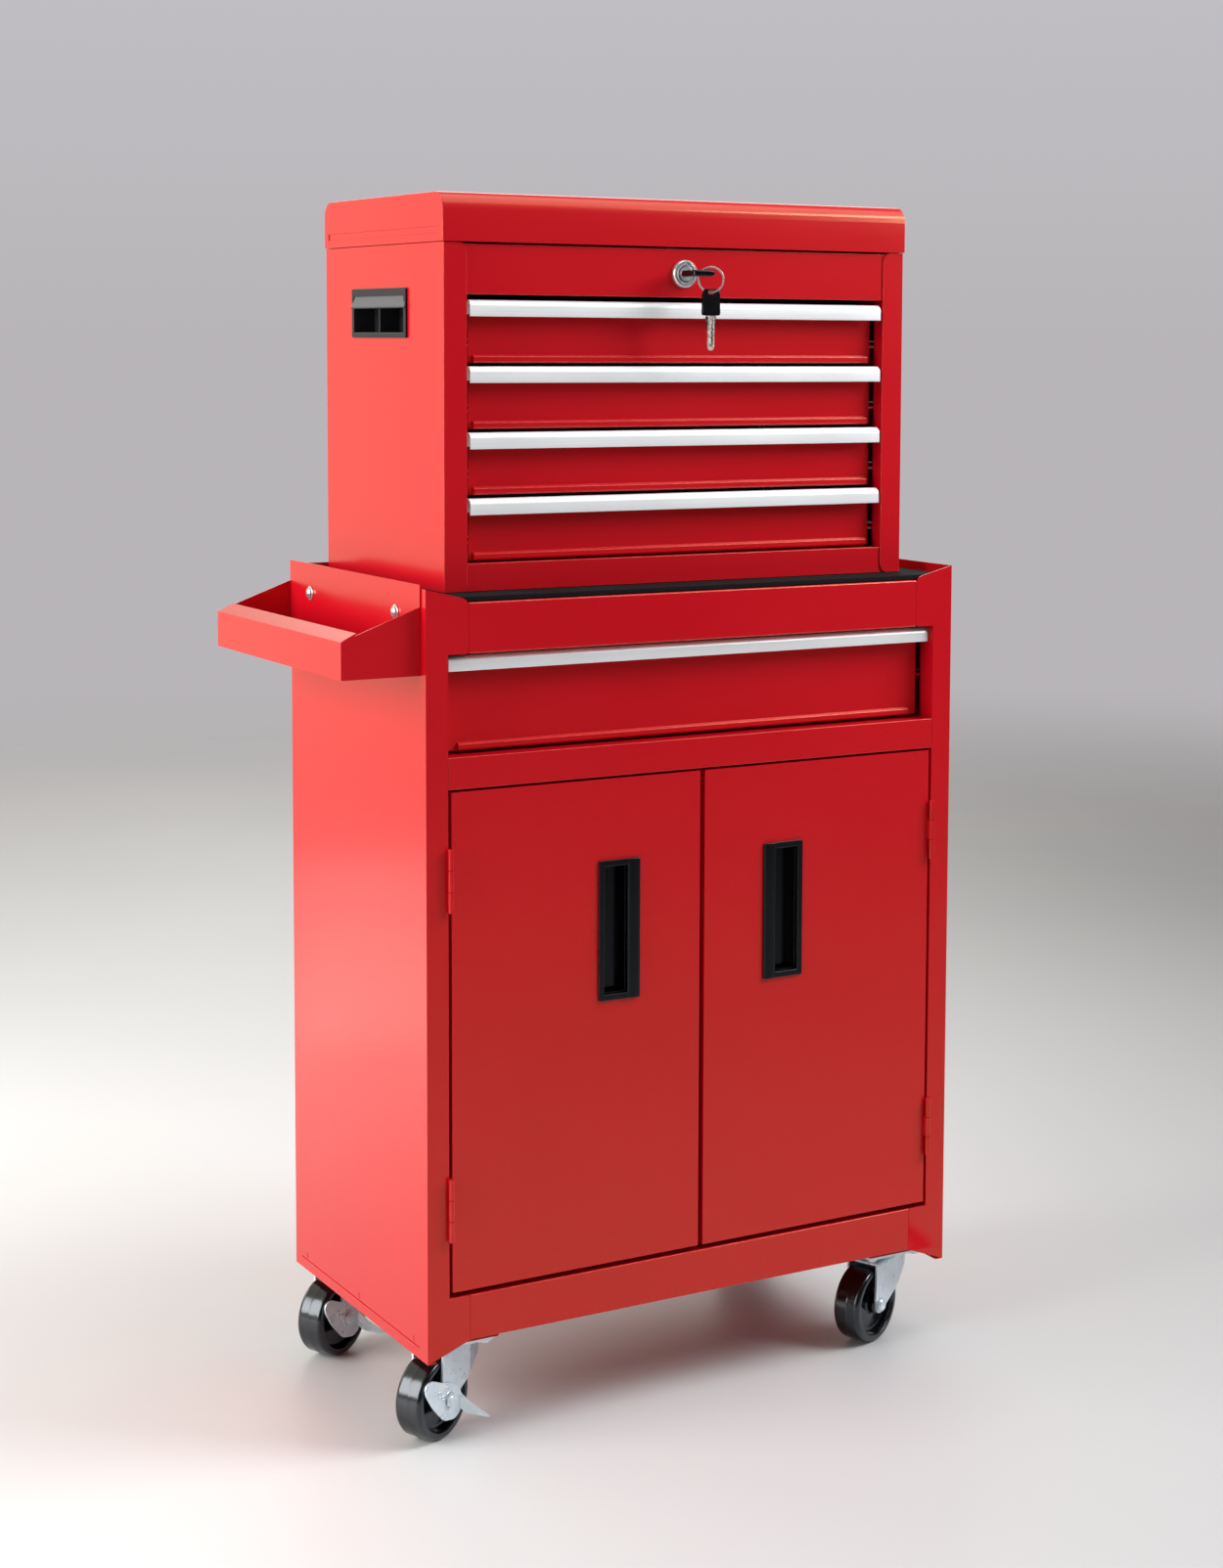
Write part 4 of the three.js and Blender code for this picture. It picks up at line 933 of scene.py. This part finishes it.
doorGripValues = {
    "outer": ((64.3, 375.0), (105.6, 500.0)),
    "mouth": ((76.8, 380.3), (100.3, 494.7)),
    "corners": (1.4, 1.2),  # of the frame and of its mouth
    "face": (-2.0, -0.3),
    "edge": (0.55, 3, 0.7),
    "cup": ((68.1, 378.8), (101.8, 496.2)),
    "cupDepths": (-0.3, 13.0),
    "cupCorner": 1.5,
    "wall": 1.5,
    "band": [
        # across and depth: the rounded edge that the fingers hold
        (64.3, -0.4), (64.3, -1.5), (64.9, -2.3), (66.2, -3.0), (68.4, -3.3), (72.4, -3.3),
        (74.9, -3.0), (76.3, -2.2), (76.8, -1.1), (76.8, -0.4),
    ],
    "bandInset": 0.1,
    "bandEnd": (1.1, 4, 0.9),
    "bandLevel": 1.0,  # the band's end edges rise less than this
    "lip": ((77.9, 381.5), (99.2, 493.5)),
    "lipCorners": (1.2, 1.0),
    "lipHalf": 0.5,
    "lipDepth": 2.4,
    "lipEdge": (0.3, 2, 0.8),
}


def makeDoorPull(hand):
    values = doorGripValues
    shell = makeGrip(values)
    (_, bottom), (_, top) = values["outer"]
    band = prism(values["band"], "xy", bottom + values["bandInset"], top - values["bandInset"])
    addShape(shell, soften(
        band, values["bandEnd"], lambda edge: reachOf(edge, 2) < values["bandLevel"]))
    lip = holedPlate(
        rectangle(*values["mouth"]), rectangle(*values["lip"]), *values["lipCorners"],
        values["lipHalf"])
    soften(lip, values["lipEdge"])
    addShape(shell, move(lip, shift((0, values["lipDepth"], 0))))
    mirrored = Matrix.Scale(sides[hand], 4, (1, 0, 0))
    finishGrip(f"door_grip_{hand}", shell, f"door_pull_{hand}", mirrored, plastic)


for hand in sides:
    makeDoorPull(hand)


chestGripValues = {
    "outside": 235.8,
    "outer": ((110.4, 954.4), (227.8, 998.0)),
    "mouth": ((115.0, 958.6), (223.2, 991.2)),
    "corners": (1.2, 0.8),
    "face": (-1.8, 0.0),
    "edge": (0.5, 3, 0.7),
    "cup": ((113.7, 957.7), (224.5, 992.4)),
    "cupDepths": (-0.2, 20.0),
    "cupCorner": 1.0,
    "wall": 1.5,
    "brow": [
        # depth and height: the sloping lip under the top band
        (3.0, 993.0), (-0.4, 993.0), (-2.5, 982.6), (-2.9, 981.2), (-2.8, 980.6), (-2.3, 980.2),
        (-1.4, 980.5), (3.0, 989.0),
    ],
    "browReach": (115.2, 223.0),
    "browFlare": 4.4,  # the part in front of the frame runs out to the frame's sides
    "browFlareFrom": -1.9,
    "browEdge": (0.3, 2, 0.9),
    "rib": ((168.1, 957.9), (170.1, 982.0)),
    "ribDepths": (-0.4, 19.0),
    "ribEdge": (0.3, 2, 0.8),
}


def makeChestHandle(hand):
    values = chestGripValues
    side = sides[hand]
    shell = makeGrip(values)
    brow = prism(values["brow"], "yz", *values["browReach"])
    middle = sum(values["browReach"]) / 2
    for vert in brow.verts:
        if vert.co.y < values["browFlareFrom"]:
            vert.co.x += math.copysign(values["browFlare"], vert.co.x - middle)
    addShape(shell, soften(brow, values["browEdge"]))
    rib = prism(rectangle(*values["rib"]), "xz", *values["ribDepths"])
    addShape(shell, soften(rib, values["ribEdge"]))
    turned = Matrix((
        (0, -side, 0, side * values["outside"]), (1, 0, 0, 0), (0, 0, 1, 0), (0, 0, 0, 1)))
    finishGrip(f"chest_grip_{hand}", shell, f"chest_handle_{hand}", turned, handlePlastic)


for hand in sides:
    makeChestHandle(hand)
print("moulded pulls done")


# Pieces that keep the drawing's form, with their edges rounded

plainPieces = {
    # name, edge and surface
    "deck_mat": ("rubber_mat", (0.8, 3, 0.8), matRubber),
    "door_catch": ("magnet_catch", (0.7, 3, 0.8), magnetGrey),
    "lid_hinge_fixed_leaf": ("hinge_leaf_fixed", (0.2, 2, 1.0), zinc),
    "lid_hinge_moving_leaf": ("hinge_leaf_moving", (0.2, 2, 1.0), zinc),
    "lid_hinge_pin": ("hinge_rod", (0.25, 2, 1.0), zinc),
    "chest_rails_left": ("drawer_rails_left", (0.25, 2, 1.0), zinc),
    "chest_rails_right": ("drawer_rails_right", (0.25, 2, 1.0), zinc),
}

for nodeName, (pieceName, rounding, surface) in plainPieces.items():
    finishPiece(pieceName, soften(copyNode(nodeName), rounding), nodeName, surface)
print("mat, catch, hinge and rails done")


# Tray screws: a domed head on a washer outside, a nut inside the cabinet

screwValues = {
    "height": 721.5,
    "depths": {"front": 58.2, "rear": 247.7},
    "profile": [
        # radius, and how far along X
        (0.0, -275.2), (1.6, -275.1), (3.2, -274.6), (4.4, -273.7), (5.0, -272.6), (5.0, -272.3),
        (6.3, -272.2), (6.5, -272.0), (6.5, -271.7), (2.6, -271.6), (2.6, -264.9), (2.2, -264.7),
        (0.0, -264.7),
    ],
    "steps": 32,
    "nut": (4.6, -268.7, -265.4),  # radius, start and end
    "nutEdge": (0.35, 2, 0.8),
}


def makeScrew(where):
    values = screwValues
    node = f"tray_bolt_{where}"
    screw = move(lathe(values["profile"], values["steps"]), alongX)
    nut = hexNut(*values["nut"], (1, 0, 0), alongX)
    addShape(screw, soften(nut, values["nutEdge"]))
    move(screw, shift((0, values["depths"][where], values["height"])))
    finishPiece(f"tray_screw_{where}", screw, node, chrome)


makeScrew("front")
makeScrew("rear")
print("tray screws done")


# Lock, its key, the ring and the spare key

lockValues = {
    "middle": (0.0, 0.0, 1012.5),
    "barrel": [
        # radius and depth, front to back and round to the bore
        (7.1, 34.9), (7.5, 34.35), (8.3, 34.3), (8.7, 34.8), (8.9, 35.7), (9.7, 35.8), (9.9, 34.9),
        (10.3, 34.15), (11.2, 34.1), (12.0, 34.8), (12.4, 35.9), (12.4, 37.4), (12.2, 37.6),
        (9.0, 37.6), (9.0, 59.6), (8.7, 59.9), (7.1, 59.9),
    ],
    "steps": 56,
    "nut": (12.8, 39.2, 42.2),
    "nutBore": 0.72,  # of the nut's own size
    "nutEdge": (0.4, 2, 0.8),
    "plugEdge": (0.22, 2, 0.9),
}


def makeLock():
    values = lockValues
    barrel = lathe(values["barrel"], values["steps"], closed=True)
    nut = hexNut(*values["nut"])
    caps = [face for face in nut.faces if abs(face.normal.z) > shaping["facing"]]
    bmesh.ops.delete(nut, geom=caps, context="FACES_ONLY")
    rings = [edge for edge in nut.edges if edge.is_boundary]
    inner = bmesh.ops.extrude_edge_only(nut, edges=rings)
    bore = only(bmesh.types.BMVert, inner["geom"])
    bmesh.ops.scale(nut, vec=(values["nutBore"], values["nutBore"], 1), verts=bore)
    inside = [edge for edge in nut.edges if edge.is_boundary]
    bmesh.ops.bridge_loops(nut, edges=inside)
    bmesh.ops.recalc_face_normals(nut, faces=nut.faces)
    addShape(barrel, soften(nut, values["nutEdge"]))
    move(barrel, shift(values["middle"]) @ alongY)
    finishPiece("lock_bezel", barrel, "lock_barrel", chrome)
    plug = soften(copyNode("lock_plug"), values["plugEdge"])
    finishPiece("lock_face", plug, "lock_plug", chrome)


makeLock()


keyValues = {
    "shoulder": 26.4,  # where the moulded bow ends and the blade begins
    "edge": (0.3, 2, 0.8),
    "bowEdge": (1.5, 4, 0.5),
    "bowEnd": 26.1,
    "hole": (0, 7.2),  # the bow's hole stays sharp as far as this from its middle
    "holeReach": 4.2,
}


def makeKey():
    values = keyValues

    def onBowRim(edge):
        middle = middleOf(edge)
        away = (middle.to_2d() - Vector(values["hole"])).length
        return middle.y < values["bowEnd"] and away > values["holeReach"]

    for name, isBow, surface in (("key_bow", True, plastic), ("key_blade", False, keyMetal)):
        part = copyNode("key")
        cut = cutAt(
            part, (0, values["shoulder"], 0), (0, 1, 0), clear_outer=isBow, clear_inner=not isBow)
        bmesh.ops.edgeloop_fill(part, edges=only(bmesh.types.BMEdge, cut["geom_cut"]))
        bmesh.ops.recalc_face_normals(part, faces=part.faces)
        if isBow:
            soften(part, values["bowEdge"], onBowRim)
        finishPiece(name, soften(part, values["edge"]), "key", surface)


makeKey()


def turnedAt(values):
    return shift(values["middle"]) @ Matrix.Rotation(values["turn"], 4, "Z")


ringValues = {
    "middle": (7.2, 2.9, 1007.0),
    "turn": -0.5376,
    "section": [
        # radius and height: two turns of flat wire beside each other
        (10.25, -0.55), (10.4, -0.75), (11.5, -0.78), (11.75, -0.6), (11.78, -0.2), (11.6, 0.0),
        (11.78, 0.2), (11.75, 0.6), (11.5, 0.78), (10.4, 0.75), (10.25, 0.55), (10.25, 0.1),
        (10.4, 0.0), (10.25, -0.1),
    ],
    "steps": 64,
    "smoothAngle": math.radians(70),
}


def makeRing():
    values = ringValues
    ring = lathe(values["section"], values["steps"], closed=True)
    move(ring, turnedAt(values) @ alongY)
    finishPiece("split_ring", ring, "key_ring", chrome, values["smoothAngle"])


makeRing()


spareValues = {
    "middle": (7.2, 2.9, 996.0),
    "turn": 0.178,
    "head": [
        (-6.6, 3.1), (-9.6, -1.5), (-10.0, -19.0), (-8.8, -20.4), (8.8, -20.4), (10.0, -19.0),
        (9.6, -1.5), (6.6, 3.1),
    ],
    "slot": [(-4.2, 1.7), (-4.2, -1.7), (4.2, -1.7), (4.2, 1.7)],
    "headCorners": (1.3, 1.2),
    "headHalf": 1.25,
    "headEdge": (0.5, 3, 0.5),
    "blade": [
        (-3.4, -19.6), (-3.4, -47.5), (-1.6, -51.2), (1.6, -51.2), (3.4, -47.5), (3.4, -19.6),
    ],
    "bladeHalf": 0.85,
    "bladeCorner": 1.0,
    "bladeEdge": (0.15, 2, 0.8),
    "grooveMargin": 1.5,
    "grooveSlope": 0.4,
    "grooveDepth": 0.45,
}


def makeSpareKey():
    values = spareValues
    head = holedPlate(
        values["head"], values["slot"], *values["headCorners"], values["headHalf"])
    move(soften(head, values["headEdge"]), turnedAt(values))
    finishPiece("spare_key_head", head, "spare_key", plastic)
    half = values["bladeHalf"]
    blade = prism(values["blade"], "xz", -half, half, values["bladeCorner"], segments=4)
    faces = [face for face in blade.faces if abs(face.normal.y) > shaping["facing"]]
    for thickness, depth in (
            (values["grooveMargin"], 0), (values["grooveSlope"], -values["grooveDepth"])):
        bmesh.ops.inset_individual(
            blade, faces=faces, thickness=thickness, depth=depth, use_even_offset=True)
    move(soften(blade, values["bladeEdge"]), turnedAt(values))
    finishPiece("spare_key_blade", blade, "spare_key", keyMetal)


makeSpareKey()
print("lock and keys done")


# Casters: in a caster's own frame X points to its nose and the wheel trails behind

casterValues = {
    "places": {
        # across, depth, turn, brake
        "front_left": (-228.5, 45.0, 0.4974, True),
        "front_right": (228.5, 45.0, 0.4189, False),
        "rear_left": (-228.5, 268.0, 0.5061, True),
        "rear_right": (228.5, 268.0, 0.4538, False),
    },
    "axle": (-26.0, 0.0, 36.5),
}
onAxle = shift(casterValues["axle"])

plateValues = {
    "plate": (64.0, 58.0, 82.5, 85.0),  # length, width, underside and top
    "corner": 7.0,
    "edge": (0.3, 2, 1.0),
    "bolt": (5.2, 79.3),  # radius and underside
    "boltInset": (8.0, 7.5),
    "boltTaper": 0.96,
    "boltEdge": (0.35, 2, 0.8),
    "race": [
        # the two cups of the swivel, with the gap between them where the balls show
        (4.6, 82.5), (20.0, 82.5), (20.0, 81.2), (19.5, 80.7), (16.2, 80.6), (16.2, 79.7),
        (18.4, 79.6), (18.9, 79.1), (18.9, 78.3), (18.5, 78.0), (4.6, 78.0),
    ],
    "balls": (20, 17.4, 80.15, 1.25),  # how many, how far out, height and radius
    "ballSmoothAngle": math.radians(80),
    "kingpin": [
        (0.0, 72.9), (4.5, 73.0), (6.6, 73.5), (7.7, 74.2), (8.0, 75.0), (8.0, 75.4), (4.0, 75.4),
        (4.0, 82.6), (0.0, 82.6),
    ],
    "kingpinSteps": 32,
}


def makePlate(name, here):
    values = plateValues
    node = f"caster_{name}_plate"
    length, width, low, high = values["plate"]
    plate = prism(
        rectangle((-length / 2, -width / 2), (length / 2, width / 2)), "xy", low, high,
        values["corner"], segments=6)
    soften(plate, values["edge"])
    addShape(plate, lathe(values["race"], closed=True))
    addShape(plate, lathe(values["kingpin"], values["kingpinSteps"]))
    radius, underside = values["bolt"]
    insetX, insetY = values["boltInset"]
    for sideX, sideY in ((-1, -1), (-1, 1), (1, -1), (1, 1)):
        spot = shift((
            sideX * (length / 2 - insetX), sideY * (width / 2 - insetY), (underside + low) / 2))
        bolt = hexagon(radius, low - underside, spot, values["boltTaper"])
        addShape(plate, soften(bolt, values["boltEdge"]))
    move(plate, here)
    finishPiece(f"caster_{name}_mount", plate, node, zinc)
    count, reach, level, ballRadius = values["balls"]
    balls = newShape()
    for step in range(count):
        turned = Matrix.Rotation(step * math.tau / count, 4, "Z")
        bmesh.ops.create_icosphere(
            balls, subdivisions=2, radius=ballRadius, matrix=turned @ shift((reach, 0, level)))
    move(balls, here)
    # near-black balls: painted shade in the race's gap
    finishPiece(f"caster_{name}_balls", balls, node, shadedBallSteel, values["ballSmoothAngle"])


forkValues = {
    "cuts": (7.6, 8.4),
    "crease": 8.0,  # the cheeks bend inwards before this line
    "nose": 25.0,
    "cheek": 14.5,  # the cheeks are further out than this
    "bendIn": 3.4,
    "shoulder": (2.2, 4, 0.3),
    "shoulderFrom": (13.0, 77.6),  # further out and higher than this
    "shoulderLength": 1.0,
    "edge": (0.28, 2, 1.0),
    "smoothAngle": math.radians(24),
}


def makeFork(name, here):
    values = forkValues
    node = f"caster_{name}_fork"
    fork = move(copyNode(node), here.inverted())
    for cut in values["cuts"]:
        cutAt(fork, (cut, 0, 0), (1, 0, 0))
    for vert in fork.verts:
        if vert.co.x > values["crease"] and abs(vert.co.y) > values["cheek"]:
            part = (vert.co.x - values["crease"]) / (values["nose"] - values["crease"])
            vert.co.y -= math.copysign(values["bendIn"] * part, vert.co.y)
    out, above = values["shoulderFrom"]
    soften(fork, values["shoulder"], lambda edge: all(
        vert.co.z > above and abs(vert.co.y) > out for vert in edge.verts)
        and reachOf(edge, 0) > values["shoulderLength"])
    move(soften(fork, values["edge"]), here)
    finishPiece(f"caster_{name}_yoke", fork, node, zinc, values["smoothAngle"])


wheelShape = {
    # half of the section: radius, and distance from the wheel's middle plane
    "section": [
        (4.25, 14.3), (8.1, 14.3), (9.0, 13.4), (9.3, 8.2), (10.8, 6.7), (16.0, 6.3), (23.8, 5.4),
        (26.8, 6.6), (28.0, 9.5), (28.8, 12.4), (29.8, 13.7), (31.2, 14.0), (33.0, 13.85),
        (34.9, 12.9), (35.9, 11.3), (36.15, 9.2), (36.15, 1.5), (36.5, 0.8),
    ],
    "steps": 72,
}


def makeWheel(name, here):
    half = wheelShape["section"]
    section = half + [(radius, -across) for radius, across in reversed(half)]
    wheel = lathe(section, wheelShape["steps"], closed=True)
    move(wheel, here @ onAxle @ alongY)
    finishPiece(f"caster_{name}_tyre", wheel, f"caster_{name}_wheel", wheelPlastic)


axleValues = {
    # radius, and how far along the axle
    "far": [
        (0.0, 20.3), (3.0, 20.15), (5.0, 19.5), (6.2, 18.5), (6.5, 17.6), (6.5, 17.3), (3.9, 17.3),
    ],
    "nearPlain": [
        (3.9, -17.6), (6.5, -17.6), (6.5, -18.2), (6.0, -19.4), (4.9, -20.3), (3.6, -20.6),
        (2.9, -20.4), (2.5, -19.9), (0.0, -19.8),
    ],
    "nearBrake": [(3.9, -19.7), (3.9, -22.2), (3.4, -22.7), (0.0, -22.7)],
    "steps": 32,
    "nut": (6.5, -22.0, -19.7),
    "nutEdge": (0.5, 2, 0.8),
}


def makeAxle(name, here, brake):
    values = axleValues
    near = values["nearBrake"] if brake else values["nearPlain"]
    pin = lathe(values["far"] + near, values["steps"])
    if brake:
        addShape(pin, soften(hexNut(*values["nut"]), values["nutEdge"]))
    move(pin, here @ onAxle @ alongY)
    finishPiece(f"caster_{name}_pin", pin, f"caster_{name}_axle", zinc)


leverValues = {
    "outer": -17.3,
    "thickness": 1.5,
    "leaf": [
        # reach and rise from the axle
        (-34, 15.5), (-34, 23.2), (-25, 25), (-8, 17.5), (4, 14.5), (17, 5), (17, -15), (8, -20),
        (-8, -16.5), (-24, 0),
    ],
    "corner": 4.5,
    "edge": (0.35, 2, 0.8),
    "ring": [(6.0, 0.0), (6.2, 0.5), (6.7, 0.8), (7.3, 0.8), (7.8, 0.5), (8.0, 0.0)],
    "ringSteps": 40,
    "marks": [(-13.8, 8.8, 2.6), (-8.9, 4.4, 1.7), (-3.0, 10.4, 2.0)],  # plain pressed rings
    "markSection": [(-0.8, 0.0), (-0.6, 0.4), (-0.2, 0.65), (0.2, 0.65), (0.6, 0.4), (0.8, 0.0)],
    "markSteps": 24,
    "sink": 0.02,  # the rings stand this deep in the leaf
    "tab": [
        (0.5, 3.0), (0.5, -12.0), (-7.0, -16.8), (-25.5, -19.3), (-26.8, -18.9), (-26.6, -17.9),
        (-9.0, -6.5),
    ],
    "tabCorner": 0.7,
    "tabEdge": (0.35, 2, 0.9),
    "tabTurn": 0.42,
    "tabPlace": 15.5,
    "tabSink": 0.6,
}


def makeLever(name, here):
    values = leverValues
    outer, half = values["outer"], values["thickness"] / 2
    inner = outer - values["thickness"]
    leaf = prism(values["leaf"], "xz", inner, outer, values["corner"])
    soften(leaf, values["edge"])
    depth = inner + values["sink"]
    ring = lathe(values["ring"], values["ringSteps"])
    addShape(leaf, move(ring, shift((0, depth, 0)) @ towardsFront))
    for reach, rise, radius in values["marks"]:
        section = [(radius + out, level) for out, level in values["markSection"]]
        mark = lathe(section, values["markSteps"])
        addShape(leaf, move(mark, shift((reach, depth, rise)) @ towardsFront))
    tab = prism(values["tab"], "yz", -half, half, values["tabCorner"], segments=3)
    soften(tab, values["tabEdge"])
    spot = shift((values["tabPlace"], inner + values["tabSink"], 0))
    addShape(leaf, move(tab, spot @ Matrix.Rotation(values["tabTurn"], 4, "Z")))
    move(leaf, here @ onAxle)
    finishPiece(f"caster_{name}_lever", leaf, f"caster_{name}_brake", zinc)


for casterName, (across, depth, turn, brake) in casterValues["places"].items():
    under = shift((across, depth, 0))
    here = under @ Matrix.Rotation(turn, 4, "Z")
    makePlate(casterName, under)
    makeFork(casterName, here)
    makeWheel(casterName, here)
    makeAxle(casterName, here, brake)
    if brake:
        makeLever(casterName, here)
print("casters done")


leftOver = [nodeName for nodeName, node in frame["nodes"].items() if not node.hide_render]
print("drawing's own solids still showing:", leftOver)
